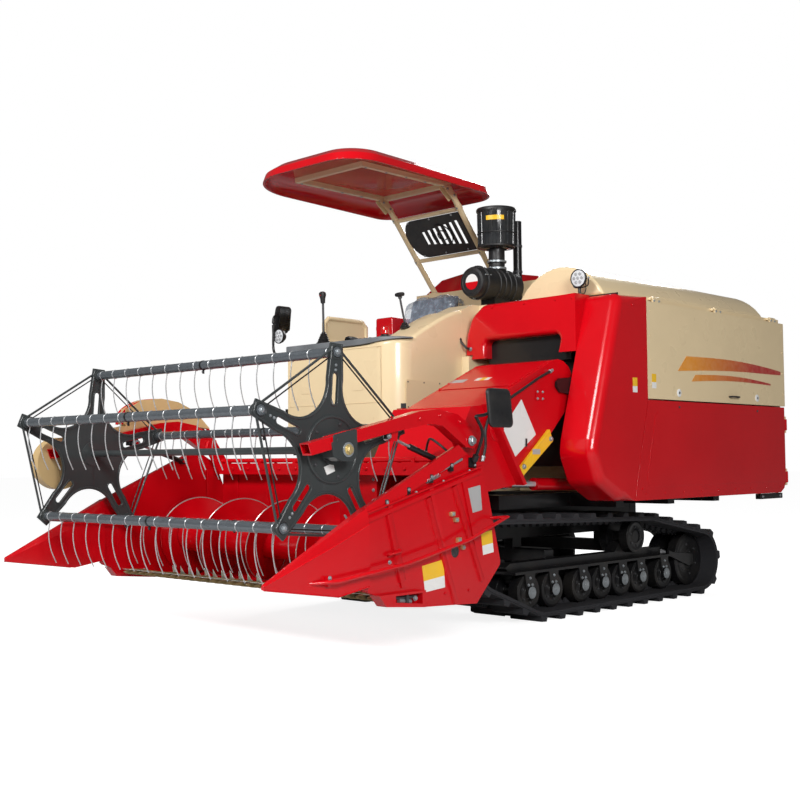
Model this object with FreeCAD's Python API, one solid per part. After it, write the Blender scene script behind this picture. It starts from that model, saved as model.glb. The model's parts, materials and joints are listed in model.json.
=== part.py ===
"""Tracked combine harvester: one named STEP file per piece.

Frame: +X forward, +Y to the machine's left, +Z up, origin on the ground under the plan centre.
All lengths are in millimetres and all angles in degrees.
"""
import os
from math import atan2, cos, degrees, hypot, pi, radians, sin

import FreeCAD
import Part

os.makedirs("parts", exist_ok=True)
V = FreeCAD.Vector

# Undercarriage
LUG_PITCH = 180.0           # two 90 mm links of rubber track
LUG_HEIGHT = 28.0
LUG_ROOT, LUG_TIP = 64.0, 42.0
BELT = 27.0                 # belt thickness under the lugs
TRACK_WIDTH = 465.0
TRACK_Y = 614.5             # half the gauge
RUN_FIT = 0.3               # seat between the belt and what it runs on
SPROCKET = (525.0, 400.0)   # x, z of each wheel's axle
SPROCKET_R = 237.5          # radii are those of the lug tips around each wheel
FRONT_ROLLER = (120.0, 162.0)
IDLER = (-1720.0, 235.0)
CARRIER = (-1053.0, 428.0)
CARRIER_R = 163.0
ROLLER_X = (-115.0, -425.0, -646.0, -868.0, -1087.0, -1380.0)
TRACK_STACK = BELT + LUG_HEIGHT
BEAM_HALF = 42.0            # half width of the beam inside each track
BEAM_Z = (272.0, 332.0, 395.0)     # underside, low top in front, high top behind
SPROCKET_TEETH = 14
ROLLER_DISC = (45.0, 115.0)         # inner and outer face of each twin disc
PLATE_IN, PLATE_OUT = 118.0, 130.0  # roller plates, from the track's centre line

# Chassis
RAIL_Y = (250.0, 320.0)
RAIL_Z = (440.0, 650.0)
DECK_Z = 735.0              # top of the chassis, where the bodies stand
CROSS_X = (-1300.0, -300.0)
DECK_X = (-1640.0, -1050.0, -450.0)
REAR_BEAM = (-1700.0, -1620.0)
SILL_Y = (585.0, 665.0)      # long sills on top of the cross members
LEG_X = (160.0, 240.0)      # platform legs stand on the foremost member
CROSS_Z = (300.0, 380.0)

# Thresher body on the left
BODY_REAR, BODY_FRONT = -2440.0, -330.0
BODY_Y = (100.0, 1093.0)
BODY_TOP = 1950.0
BODY_STEP_X, BODY_STEP_Z = -620.0, 900.0
SKIN_Y = (1098.0, 1120.0)   # side doors
DOOR_SPLIT = 1310.0
DOOR_GAP = 4.0
DOOR_REAR = BODY_REAR - 22.0
COLUMN_X = -600.0
BELT_WIDTH = 26.0
SIDE_BELTS = (              # distance from the bay's wall, then each pulley's x, z, radius
    (8.0, ((-1010.0, 1010.0, 75.0), (-875.0, 1560.0, 150.0), (-1560.0, 1500.0, 105.0))),
    (50.0, ((BODY_REAR + 510.0, 1010.0, 120.0), (-1330.0, 1050.0, 60.0),
            (BODY_REAR + 460.0, 1640.0, 170.0))),
)
ARCH_Y, ARCH_HALF, ARCH_RISE = 660.0, 330.0, 205.0
HINGE_R, HINGE_FIT = 8.0, 0.06
UPPER_HINGE = (1108.0, 1940.0)      # y, z
LOWER_HINGE = (BODY_REAR - 34.0, 1110.0)     # x, y
UPPER_LUGS = (BODY_REAR + 140.0, -1500.0, -720.0)      # x of each hinge
LOWER_LUGS = (800.0, 1180.0)                 # z of each hinge
BAY_X = (BODY_REAR + 80.0, -690.0)           # drive bay
BAY_Z, BAY_DEPTH = (830.0, 1880.0), 105.0

# Right-hand side
RIGHT_Y = (-1080.0, 60.0)
TANK_X = (-2300.0, -880.0)
TANK_Z = (1450.0, 2200.0)
TANK_WALL = 8.0
COVER_FRONT = -150.0
COVER_TOP = 1620.0
PLINTH_TOP = 1975.0
PLINTH_Y = (-210.0, 90.0)
HOOD_X = (-335.0, -175.0)
HOOD_TOP = 1953.0
FLOOR_Z = (1270.0, 1300.0)
SHROUD_X = (445.0, 485.0)
SHROUD_Y = -1005.0
CONSOLE_Y = -240.0
CORNER_R = 100.0            # round front left corner of the operator's station
DASH_Z = (1680.0, 1720.0)
LID_X = (-2292.0, -984.0)
LID_HINGE = (-1092.0, 2212.0)       # y, z

# Canopy
ROOF_X = (-680.0, 780.0)
ROOF_Y = (-1200.0, -60.0)
ROOF_CROWN = 2905.0
ROOF_DROOP, ROOF_DECK = 135.0, 43.0     # lip and frame below the crown
ROOF_LIP, ROOF_UNDER = ROOF_CROWN - ROOF_DROOP, ROOF_CROWN - ROOF_DECK
ROOF_PITCH = 1.57           # the lip rises this much forward
ROOF_SHEET = 12.0
ROOF_CORNERS = (250.0, 230.0, 110.0, 450.0)     # anticlockwise from the front left
FRAME_X, FRAME_TUBE = (-385.0, 478.0), 32.0
POST_Y = (-918.0, -300.0)
POST_R = 20.0
POST_TOP, POST_FOOT = (-365.0, ROOF_UNDER - 14.0), (-921.0, TANK_Z[1])
BAR_SHARE = (0.355, 0.772)  # heights of the cross bars up the posts
CANISTER = (-690.0, -253.0, 2127.0, 115.0)      # x ends, z, radius
BOWL = (-525.0, ROOF_UNDER - 475.0, ROOF_UNDER - 222.0, 137.0)      # x, foot, shoulder, radius
EXHAUST_X, EXHAUST_TOP = -755.0, ROOF_UNDER - 262.0

# Feeder and header, in the raised stance the machine is parked in
LIFT_PIVOT = (-30.0, 1385.0)
FEEDER_Y = (270.0, 860.0)
FEEDER_WALL = 10.0
PIVOT_PIN_R = 25.0
RUNNING = 0.05
HEADER_HALF = 1120.0
PANEL_IN = 1095.0
PANEL_SHEET = 6.0
NOSE_OUT = 1150.0
AUGER = (1220.0, 490.0)
TROUGH_R = 255.0
STUB_R = 30.0               # the auger's end journals
AUGER_R, DRUM_R = 235.0, 110.0
FLOOR_TILT = 7.5
KNIFE_X = 1650.0            # front edge of the floor
WALL_X = 965.0
SHEET = 8.0

# Reel
REEL = (1969.5, 1000.0)
REEL_R = 457.0
REEL_PHASE = 4.4
STAR_Y, STAR_T = 1015.0, 10.0
TINE_TUBE_R = 24.0
TINE_DROP = 262.0
TINES = 16
TINE_INSET = 45.0           # first tine from the end plate
ARM_Y = (1066.0, 1126.0)
ARM_PIVOT = (1095.0, 1045.0)
ARM_POST_Y = (1034.0, 1058.0)
ARM_PIN_R = 15.0
REEL_PIN_R = 8.0
SHAFT_R = 18.0
DRIVE_DEPTH = 72.0
HANGER = 7.0                # bearing plates on the arms
REEL_CYL_Y = 1072.0         # inside the end panels, under the arms
REEL_CYL_BASE, REEL_CYL_EYE = (1300.0, 950.0), (1640.0, 1062.0)
LIFT_CYL_Y = 700.0
LIFT_CYL_BASE, LIFT_CYL_EYE = (-520.0, 785.0), (300.0, 803.0)
LIFT_TAIL, REEL_TAIL = 90.0, 14.0    # rod's end from the barrel's blind end
LIFT_DRIFT, REEL_DRIFT = 5.0, 3.5   # eye bores wider than their pins: the linkage opens there
LUG_BORE_R = 15.0           # towing and lashing eyes
LUG_PLATE, LUG_NOSE = 24.0, 35.0    # their thickness, and the hole from the nose
REAR_EYE, FRONT_EYE = (-1765.0, 540.0), (715.0, 460.0)  # nose x, z

# Unloading auger, parked forward along the right side
UNLOAD = (-2385.0, -1160.0)
UNLOAD_R = 70.0
UNLOAD_Z = (780.0, 1640.0)

nodes = {}


def box(x0, x1, y0, y1, z0, z1):
    return Part.makeBox(x1 - x0, y1 - y0, z1 - z0, V(x0, y0, z0))


def cyl(start, end, radius):
    a, b = V(*start), V(*end)
    return Part.makeCylinder(radius, (b - a).Length, a, b - a)


def fuse(shapes):
    shapes = list(shapes)
    whole = shapes[0].multiFuse(shapes[1:]) if len(shapes) > 1 else shapes[0]
    return whole.removeSplitter()


def face_of(points):
    return Part.Face(Part.makePolygon(points + points[:1]))


def side_prism(points, y0, y1):
    """Prism whose outline is drawn from the side, as (x, z) pairs."""
    return face_of([V(x, y0, z) for x, z in points]).extrude(V(0, y1 - y0, 0))


def front_prism(points, x0, x1):
    """Prism whose outline is drawn from the front, as (y, z) pairs."""
    return face_of([V(x0, y, z) for y, z in points]).extrude(V(x1 - x0, 0, 0))


def plan_prism(points, z0, z1):
    return face_of([V(x, y, z0) for x, y in points]).extrude(V(0, 0, z1 - z0))


def rod(points, radius):
    """Round bar along a path with mitred bends."""
    path = Part.Wire(Part.makePolygon([V(*p) for p in points]).Edges)
    first = V(*points[1]) - V(*points[0])
    ring = Part.Wire(Part.makeCircle(radius, V(*points[0]), first))
    sweep = Part.BRepOffsetAPI.MakePipeShell(path)
    sweep.setTransitionMode(1)
    sweep.add(ring, False, False)
    sweep.build()
    sweep.makeSolid()
    return sweep.shape()


def mirrored(shape):
    return shape.mirror(V(0, 0, 0), V(0, 1, 0))


def both(shape):
    return Part.makeCompound([shape, mirrored(shape)])


def rounded(shape, radius, keep):
    edges = [e for e in shape.Edges if keep(e)]
    return shape.makeFillet(radius, edges)


def along(edge, axis):
    a, b = edge.Vertexes[0].Point, edge.Vertexes[-1].Point
    d = b - a
    return d.Length > 0 and abs(abs(getattr(d, axis)) - d.Length) < 1e-6


# ---- tracks -------------------------------------------------------------------------------------

def tangent_loop(circles):
    """Belt path around circles given counter-clockwise: straights and arcs as samplers."""
    legs = []
    count = len(circles)
    ends = []
    for i in range(count):
        (ax, az, ar), (bx, bz, br) = circles[i], circles[(i + 1) % count]
        heading = atan2(bz - az, bx - ax)
        turn = heading - pi / 2 - asin_safe((br - ar) / hypot(bx - ax, bz - az))
        ends.append((turn, (ax + ar * cos(turn), az + ar * sin(turn)),
                     (bx + br * cos(turn), bz + br * sin(turn))))
    for i in range(count):
        turn, start, end = ends[i]
        legs.append(("line", start, end, turn))
        cx, cz, r = circles[(i + 1) % count]
        sweep = (ends[(i + 1) % count][0] - turn) % (2 * pi)
        legs.append(("arc", (cx, cz), r, (turn, sweep)))
    return legs


def asin_safe(value):
    return atan2(value, (1 - value * value) ** 0.5)


def leg_length(leg):
    if leg[0] == "line":
        return hypot(leg[2][0] - leg[1][0], leg[2][1] - leg[1][1])
    return leg[2] * leg[3][1]


def on_path(legs, s, offset):
    """Point at distance s along the path, moved out by the offset."""
    for leg in legs:
        size = leg_length(leg)
        if s <= size:
            break
        s -= size
    if leg[0] == "line":
        t, turn = s / size, leg[3]
        x = leg[1][0] + t * (leg[2][0] - leg[1][0])
        z = leg[1][1] + t * (leg[2][1] - leg[1][1])
    else:
        turn = leg[3][0] + s / leg[2]
        x, z = leg[1][0] + leg[2] * cos(turn), leg[1][1] + leg[2] * sin(turn)
    return x + offset * cos(turn), z + offset * sin(turn)


def track_loop():
    """Root line of the lugs, anticlockwise seen from the right."""
    return tangent_loop([
        (FRONT_ROLLER[0], FRONT_ROLLER[1], FRONT_ROLLER[1] - LUG_HEIGHT),
        (SPROCKET[0], SPROCKET[1], SPROCKET_R - LUG_HEIGHT),
        (CARRIER[0], CARRIER[1], CARRIER_R - LUG_HEIGHT),
        (IDLER[0], IDLER[1], IDLER[1] - LUG_HEIGHT),
    ])


def arc_marks(legs, step):
    """Distances at which the path's bends need a vertex."""
    marks, s = [], 0.0
    for leg in legs:
        size = leg_length(leg)
        marks.append(s)
        if leg[0] == "arc":
            count = max(1, int(degrees(leg[3][1]) / step))
            marks += [s + size * i / count for i in range(1, count)]
        s += size
    return marks, s


def inner_wire(legs, y):
    """True lines and arcs of the belt's inner face."""
    edges = []
    for leg in legs:
        size = leg_length(leg)
        marks = (0.0, size) if leg[0] == "line" else (0.0, size / 2, size)
        pts = [on_path([leg], s, -BELT) for s in marks]
        pts = [V(x, y, z) for x, z in pts]
        edges.append(Part.makeLine(*pts) if leg[0] == "line" else Part.Arc(*pts).toShape())
    return Part.Wire(edges)


def track_half(legs, total, shift, y0, y1):
    """One half of the track's width, its lugs shifted along the belt."""
    count = round(total / LUG_PITCH)
    pitch = total / count
    marks, _ = arc_marks(legs, 14.0)
    points, lugs = [], [(k + shift) * pitch for k in range(count)]
    for c in lugs:
        points += [(c - LUG_ROOT / 2, 0.0), (c - LUG_TIP / 2, LUG_HEIGHT),
                   (c + LUG_TIP / 2, LUG_HEIGHT), (c + LUG_ROOT / 2, 0.0)]
    for m in marks:
        if all(abs((m - c + total / 2) % total - total / 2) > LUG_ROOT / 2 + 4 for c in lugs):
            points.append((m, 0.0))
    points.sort()
    ring = side_prism([on_path(legs, s % total, h) for s, h in points], y0, y1)
    return ring.cut(Part.Face(inner_wire(legs, y0)).extrude(V(0, y1 - y0, 0)))


def make_track():
    legs = track_loop()
    _, total = arc_marks(legs, 14.0)
    middle = TRACK_Y
    a = track_half(legs, total, 0.25, middle - TRACK_WIDTH / 2, middle)
    b = track_half(legs, total, 0.75, middle, middle + TRACK_WIDTH / 2)
    return fuse([a, b])


def wheel(centre, radius, inner, outer, hub):
    """Twin-disc wheel on the left track's centre line with its hub between the discs."""
    x, z = centre
    discs = [cyl((x, TRACK_Y + s * inner, z), (x, TRACK_Y + s * outer, z), radius) for s in (-1, 1)]
    return fuse(discs + [cyl((x, TRACK_Y - inner, z), (x, TRACK_Y + inner, z), hub)])


def make_wheels():
    """Rollers, idler and carrier of one side."""
    out = []
    ground = FRONT_ROLLER[1] - TRACK_STACK - RUN_FIT
    d0, d1 = ROLLER_DISC
    for x in (FRONT_ROLLER[0],) + ROLLER_X:
        z = FRONT_ROLLER[1]
        stub = cyl((x, TRACK_Y - PLATE_IN, z), (x, TRACK_Y + PLATE_IN, z), 34.0)
        out.append(fuse([wheel((x, z), ground, d0, d1, 40.0), stub]))
        out.append(cyl((x, TRACK_Y + PLATE_OUT, z), (x, TRACK_Y + PLATE_OUT + 12, z), 30.0))
    stub = cyl((IDLER[0], TRACK_Y - PLATE_IN, IDLER[1]), (IDLER[0], TRACK_Y + PLATE_IN, IDLER[1]), 44.0)
    out.append(fuse([wheel(IDLER, IDLER[1] - TRACK_STACK - RUN_FIT, d0, d1 - 5, 60.0), stub]))
    for s in (-1, 1):
        out.append(cyl((CARRIER[0], TRACK_Y + s * 48.0, CARRIER[1]),
                       (CARRIER[0], TRACK_Y + s * 110.0, CARRIER[1]),
                       CARRIER_R - TRACK_STACK - RUN_FIT))
    return Part.makeCompound(out)


def make_track_frame():
    """Beam inside one track with roller plates, idler fork and carrier block."""
    y0, y1 = TRACK_Y - BEAM_HALF, TRACK_Y + BEAM_HALF
    low, front, high = BEAM_Z
    cx = CARRIER[0]
    parts = [side_prism([(-1470, low), (200, low), (240, low + 30), (240, front - 20), (200, front),
                         (cx + 150, front), (cx + 80, high), (cx - 80, high), (cx - 150, front),
                         (-1470, front)], y0, y1)]
    parts.append(box(-1500, 260, TRACK_Y - PLATE_OUT, TRACK_Y + PLATE_OUT, low, low + 16))
    for s in (-1, 1):
        a, b = sorted((TRACK_Y + s * PLATE_IN, TRACK_Y + s * PLATE_OUT))
        for x in (FRONT_ROLLER[0],) + ROLLER_X:
            z = FRONT_ROLLER[1]
            parts.append(side_prism([(x - 26, z - 30), (x + 26, z - 30), (x + 48, low + 4),
                                     (x - 48, low + 4)], a, b))
        ix, iz = IDLER
        parts.append(side_prism([(ix - 40, iz - 35), (ix + 20, iz - 45), (-1440, low + 4),
                                 (-1440, low + 40), (-1500, iz + 60), (ix - 40, iz + 35)], a, b))
    parts.append(box(cx - 30, cx + 30, TRACK_Y - 48, TRACK_Y + 48, high - 2, CARRIER[1] + 30))
    return fuse(parts)


def make_sprocket():
    """Toothed drive wheel of one side and its hub."""
    x, z = SPROCKET
    teeth, r1, r0 = SPROCKET_TEETH, SPROCKET_R - TRACK_STACK - RUN_FIT, 148.0
    pts = []
    for k in range(teeth):
        for da, r in ((-0.32, r0), (-0.18, r1), (0.18, r1), (0.32, r0)):
            a = 2 * pi * (k + da) / teeth
            pts.append((x + r * cos(a), z + r * sin(a)))
    plate = side_prism(pts, TRACK_Y - 24, TRACK_Y + 24)
    holes = [cyl((x + 105 * cos(a), TRACK_Y - 30, z + 105 * sin(a)),
                 (x + 105 * cos(a), TRACK_Y + 30, z + 105 * sin(a)), 24)
             for a in [2 * pi * i / 7 for i in range(7)]]
    return fuse([plate.cut(fuse(holes)), cyl((x, TRACK_Y - 60, z), (x, TRACK_Y + 70, z), 70)])


nodes["track_left"] = make_track()
nodes["track_right"] = mirrored(nodes["track_left"])
nodes["running_wheels"] = both(make_wheels())
nodes["track_frames"] = both(make_track_frame())
nodes["drive_sprockets"] = both(make_sprocket())


# ---- chassis ------------------------------------------------------------------------------------

def tow_eye(root, nose, z, flat):
    """Plate with a cross hole standing out along X, upright or lying flat."""
    x0, x1 = min(root, nose), max(root, nose)
    centre = nose + (LUG_NOSE if root > nose else -LUG_NOSE)
    half = LUG_PLATE / 2
    if flat:
        plate, ends = box(x0, x1, -40, 40, z - half, z + half), ((centre, 0, z - 20), (centre, 0, z + 20))
    else:
        plate, ends = box(x0, x1, -half, half, z - 40, z + 40), ((centre, -20, z), (centre, 20, z))
    return plate.cut(cyl(*ends, LUG_BORE_R))


def make_chassis():
    """Two rails on the cross members that reach the track frames."""
    parts = []
    reach = TRACK_Y - BEAM_HALF
    for s in (-1, 1):
        a, b = sorted((s * RAIL_Y[0], s * RAIL_Y[1]))
        parts.append(box(REAR_BEAM[1], 420, a, b, *RAIL_Z))
        for x in CROSS_X:
            parts.append(box(x - 45, x + 45, a, b, CROSS_Z[0], RAIL_Z[0] + 1))
    for x in CROSS_X:
        parts.append(box(x - 45, x + 45, -reach, reach, *CROSS_Z))
    return fuse(parts)


def make_rear_beam():
    """Cross beam over the rails' rear ends with its towing eye."""
    x0, x1 = REAR_BEAM
    return fuse([box(x0, x1, -RAIL_Y[1], RAIL_Y[1], *RAIL_Z), tow_eye(x0 + 5, *REAR_EYE, False)])


def make_deck():
    """Sills on cross members, with the lift cylinder's bracket, that carry the bodies."""
    parts = []
    for s in (-1, 1):
        c, d = sorted((s * SILL_Y[0], s * SILL_Y[1]))
        parts.append(side_prism([(-1685, DECK_Z), (-1685, DECK_Z - 20), (-1560, RAIL_Z[1]),
                                 (305, RAIL_Z[1]), (305, DECK_Z)], c, d))
    for x in DECK_X:
        parts.append(box(x - 40, x + 40, -1000, 1000, RAIL_Z[1], DECK_Z))
    parts.append(box(*LEG_X, -1000, SILL_Y[1], RAIL_Z[1], DECK_Z))
    return fuse(parts + [make_lift_bracket()])


def make_lift_bracket():
    """Two ears and a pin for the header's lift cylinder."""
    x, z = LIFT_CYL_BASE
    ears = [side_prism([(x - 40, DECK_Z), (x + 26, DECK_Z), (x + 22, z + 24), (x - 24, z + 24)],
                       LIFT_CYL_Y + s - 6, LIFT_CYL_Y + s + 6) for s in (-28, 28)]
    pin = cyl((x, LIFT_CYL_Y - 34, z), (x, LIFT_CYL_Y + 34, z), 14)
    foot = box(x - 70, x + 60, LIFT_CYL_Y - 50, LIFT_CYL_Y + 50, DECK_Z - 14, DECK_Z)
    return fuse(ears + [pin, foot])


def make_gearbox():
    """Transmission case between the rails with its two final drives."""
    x, z = SPROCKET
    case = rounded(box(340, 650, -RAIL_Y[0], RAIL_Y[0], 300, 640), 40.0, lambda e: along(e, "y"))
    drives = [cyl((x, s * (RAIL_Y[0] - 5), z), (x, s * (TRACK_Y - 60), z), 100) for s in (-1, 1)]
    return fuse([case, tow_eye(645, *FRONT_EYE, True)] + drives)


nodes["chassis_frame"] = make_chassis()
nodes["rear_crossmember"] = make_rear_beam()
nodes["deck_frame"] = make_deck()
nodes["gearbox"] = make_gearbox()


# ---- thresher body ------------------------------------------------------------------------------

def make_thresher():
    """Left-hand body with a drive bay behind its doors and the feeder's two bearing arms."""
    body = side_prism([(BODY_REAR, DECK_Z), (BODY_STEP_X, DECK_Z), (BODY_STEP_X, BODY_STEP_Z),
                       (BODY_FRONT, BODY_STEP_Z), (BODY_FRONT, BODY_TOP), (BODY_REAR, BODY_TOP)],
                      *BODY_Y)
    body = body.cut(box(*BAY_X, BODY_Y[1] - BAY_DEPTH, BODY_Y[1] + 1, *BAY_Z))
    x, z = LIFT_PIVOT
    arms = []
    for y0, y1, tip in ((FEEDER_Y[1] + 4, FEEDER_Y[1] + 22, FEEDER_Y[1] - 30),
                        (FEEDER_Y[0] - 22, FEEDER_Y[0] - 4, FEEDER_Y[0] + 30)):
        arms.append(side_prism([(BODY_FRONT - 2, z - 70), (x + 10, z - 42), (x + 42, z - 10),
                                (x + 42, z + 20), (x + 10, z + 42), (BODY_FRONT - 2, z + 70)],
                               y0, y1))
        arms.append(cyl((x, (y0 + y1) / 2, z), (x, tip, z), PIVOT_PIN_R))
    return fuse([body] + arms + door_lugs())


def door_lugs():
    """Hinge pins on their ears, along the top and up the rear edge."""
    y, z = UPPER_HINGE
    lugs = []
    for x in UPPER_LUGS:
        lugs.append(cyl((x - 60, y, z), (x + 60, y, z), HINGE_R))
        for a in (x - 60, x + 46):
            lugs.append(box(a, a + 14, BODY_Y[1] - 2, y, z - 6, z + 6))
    x, y = LOWER_HINGE
    for z in LOWER_LUGS:
        lugs.append(cyl((x, y, z - 60), (x, y, z + 60), HINGE_R))
        for a in (z - 60, z + 46):
            lugs.append(plan_prism([(x - 6, y + 4), (x - 6, y - 70), (BODY_REAR + 4, y - 70),
                                    (BODY_REAR + 4, y - 24), (x + 6, y - 24), (x + 6, y + 4)], a, a + 14))
    return lugs


def make_arch():
    """Arched cover along the top of the thresher."""
    r = (ARCH_HALF ** 2 + ARCH_RISE ** 2) / (2 * ARCH_RISE)
    zc = BODY_TOP + ARCH_RISE - r
    half = atan2(ARCH_HALF, BODY_TOP - zc)
    steps = 14
    pts = []
    for i in range(steps + 1):
        a = -half + 2 * half * i / steps
        pts.append((ARCH_Y + r * sin(a), zc + r * cos(a)))
    return front_prism(pts, BODY_REAR, BODY_FRONT)


def make_column():
    """Front corner cover with chamfered upright edges."""
    side = [(-290, 690), (-79, 797), (7, 975), (-9, 1063), (-275, 1915), (-305, BODY_TOP - 5),
            (COLUMN_X, BODY_TOP - 5), (COLUMN_X, DOOR_SPLIT), (-430, 690)]
    block = side_prism(side, FEEDER_Y[1] + 26, SKIN_Y[1])
    front = [e for e in block.Edges
             if all(abs(v.Y - SKIN_Y[1]) < 1e-6 and v.X > -306 for v in e.Vertexes)
             and max(v.X for v in e.Vertexes) > -280 and abs(e.Vertexes[0].Z - e.Vertexes[-1].Z) > 60]
    block = block.makeChamfer(45.0, front)
    return block.cut(box(COLUMN_X - 5, BODY_FRONT, 0, BODY_Y[1], 600, 2000))


def make_arch_front():
    """Hooded cover between the column and the driver's console."""
    x0, x1 = HOOD_X
    y1 = FEEDER_Y[1] + 26

    def section(t):
        step = PLINTH_Y[1] - 26 + t
        return [(step, 1600 - t), (step, COVER_TOP + 4 + t), (4 + t, COVER_TOP + 4 + t),
                (13 + t, 1789), (86 + t, 1912 - t), (157, HOOD_TOP - t), (y1, HOOD_TOP - t),
                (y1, 1600 - t)]
    outer = front_prism(section(0.0), x0 + 5, x1)
    inner = front_prism(section(12.0), x0, x1 - 12)
    slot = rounded(box(x1 - 25, x1 + 5, 172, 760, 1585, 1715), 28.0,
                   lambda e: along(e, "x") and e.Vertexes[0].Z > 1700)
    return outer.cut(inner).cut(slot)


def make_upper_door():
    """Cream side door hung from the top edge."""
    y, z = UPPER_HINGE
    plate = side_prism([(DOOR_REAR, DOOR_SPLIT + DOOR_GAP), (COLUMN_X - 5, DOOR_SPLIT + DOOR_GAP),
                        (COLUMN_X - 5, z - 20), (DOOR_REAR, z - 20)], *SKIN_Y)
    parts = [plate]
    for hx in UPPER_LUGS:
        parts.append(box(hx - 40, hx + 40, y - 4, SKIN_Y[1], z - 22, z))
        parts.append(cyl((hx - 40, y, z), (hx + 40, y, z), HINGE_R + 6))
    whole = fuse(parts)
    for hx in UPPER_LUGS:
        whole = whole.cut(cyl((hx - 45, y, z), (hx + 45, y, z), HINGE_R + HINGE_FIT))
    return whole


def make_lower_door():
    """Red side door on a vertical hinge at its rear edge."""
    hx, hy = LOWER_HINGE
    front = [(-435, 690), (COLUMN_X - 5, DOOR_SPLIT - DOOR_GAP)]
    plate = side_prism([(DOOR_REAR + 12, DOOR_SPLIT - DOOR_GAP), (DOOR_REAR + 12, 780),
                        (DOOR_REAR + 40, 720), (DOOR_REAR + 95, 690)] + front, *SKIN_Y)
    parts = [plate]
    for z0 in LOWER_LUGS:
        parts.append(box(hx, DOOR_REAR + 30, hy - 4, SKIN_Y[1] - 2, z0 - 40, z0 + 40))
        parts.append(cyl((hx, hy, z0 - 40), (hx, hy, z0 + 40), HINGE_R + 6))
    whole = fuse(parts)
    for z0 in LOWER_LUGS:
        whole = whole.cut(cyl((hx, hy, z0 - 45), (hx, hy, z0 + 45), HINGE_R + HINGE_FIT))
    return whole


def make_straw_hood():
    """Discharge hood across the rear, open downward."""
    rear = BODY_REAR
    outer = side_prism([(rear, 1900), (rear - 30, 1840), (rear - 38, 1000), (rear - 38, 960),
                        (rear, 960)], 160, 1030)
    inner = side_prism([(rear, 1850), (rear - 22, 1800), (rear - 28, 940), (rear, 940)], 172, 1018)
    return outer.cut(inner)


def belt(pulleys, y0, y1, thick):
    """Open belt round pulleys given anticlockwise as (x, z, radius)."""
    rings = []
    for grow in (thick, 0.0):
        legs = tangent_loop([(x, z, r + grow) for x, z, r in pulleys])
        edges = []
        for leg in legs:
            size = leg_length(leg)
            marks = (0.0, size) if leg[0] == "line" else (0.0, size / 2, size)
            pts = [V(p[0], y0, p[1]) for p in (on_path([leg], s, 0.0) for s in marks)]
            edges.append(Part.makeLine(*pts) if leg[0] == "line" else Part.Arc(*pts).toShape())
        rings.append(Part.Face(Part.Wire(edges)).extrude(V(0, y1 - y0, 0)))
    return rings[0].cut(rings[1])


def make_side_drives():
    """Pulleys and belts in the bay behind the side doors."""
    wall = BODY_Y[1] - BAY_DEPTH
    out = []
    for offset, pulleys in SIDE_BELTS:
        y = wall + offset
        spools = []
        for x, z, r in pulleys:
            hub = cyl((x, wall, z), (x, y + BELT_WIDTH + 8, z), 26)
            spools.append(fuse([hub, cyl((x, y, z), (x, y + BELT_WIDTH, z), r)]))
        out.append(fuse(spools + [belt(pulleys, y + 4, y + BELT_WIDTH - 4, 12.0)]))
    return Part.makeCompound(out)


nodes["thresher_body"] = make_thresher()
nodes["top_arch_cover"] = make_arch()
nodes["column_cover"] = make_column()
nodes["front_hood"] = make_arch_front()
nodes["upper_side_door"] = make_upper_door()
nodes["lower_side_door"] = make_lower_door()
nodes["straw_hood"] = make_straw_hood()
nodes["side_drives"] = make_side_drives()


# ---- right-hand side ----------------------------------------------------------------------------

def make_lower_body():
    """Cleaning and elevator housing under the tank with the unloading riser behind it."""
    block = box(TANK_X[0], TANK_X[1], RIGHT_Y[0], RIGHT_Y[1], DECK_Z, TANK_Z[0])
    x, y = UNLOAD
    link = box(x - 75, TANK_X[0] + 1, -1000, -860, 785, 935)
    cross = cyl((x, y, 860), (x, -930, 860), 75)
    riser = cyl((x, y, UNLOAD_Z[0]), (x, y, UNLOAD_Z[1] - 60), UNLOAD_R + 5)
    collar = cyl((x, y, UNLOAD_Z[1] - 60), (x, y, UNLOAD_Z[1]), 50)
    rest = side_prism([(-1040, 1590), (-960, 1590), (-960, 1640 - 0.3), (-1040, 1640 - 0.3)],
                      -1235, -1120)
    brace = side_prism([(-1020, 1400), (-980, 1400), (-980, 1430), (-1020, 1430)], -1235, -1079)
    post = box(-1020, -980, -1235, -1180, 1400, 1600)
    return fuse([block, link, cross, riser, collar, rest, brace, post])


def make_tank():
    """Open-topped grain tank with a front deck for the canopy posts."""
    x0, x1 = TANK_X
    outer = box(x0, x1, RIGHT_Y[0], RIGHT_Y[1], *TANK_Z)
    t = TANK_WALL
    inner = box(x0 + t, -980, RIGHT_Y[0] + t, RIGHT_Y[1] - t, TANK_Z[0] + t, TANK_Z[1] + 1)
    y, z = LID_HINGE
    parts = [outer.cut(inner)]
    for hx in (-2100.0, -1180.0):
        parts.append(cyl((hx - 60, y, z), (hx + 60, y, z), HINGE_R))
        for a, b in ((hx - 60, hx - 46), (hx + 46, hx + 60)):
            parts.append(front_prism([(RIGHT_Y[0] + 2, z - 60), (RIGHT_Y[0] + 2, z - 14),
                                      (y + 6, z + 6), (y - 6, z + 6), (y - 6, z - 10)], a, b))
    return fuse(parts)


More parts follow.
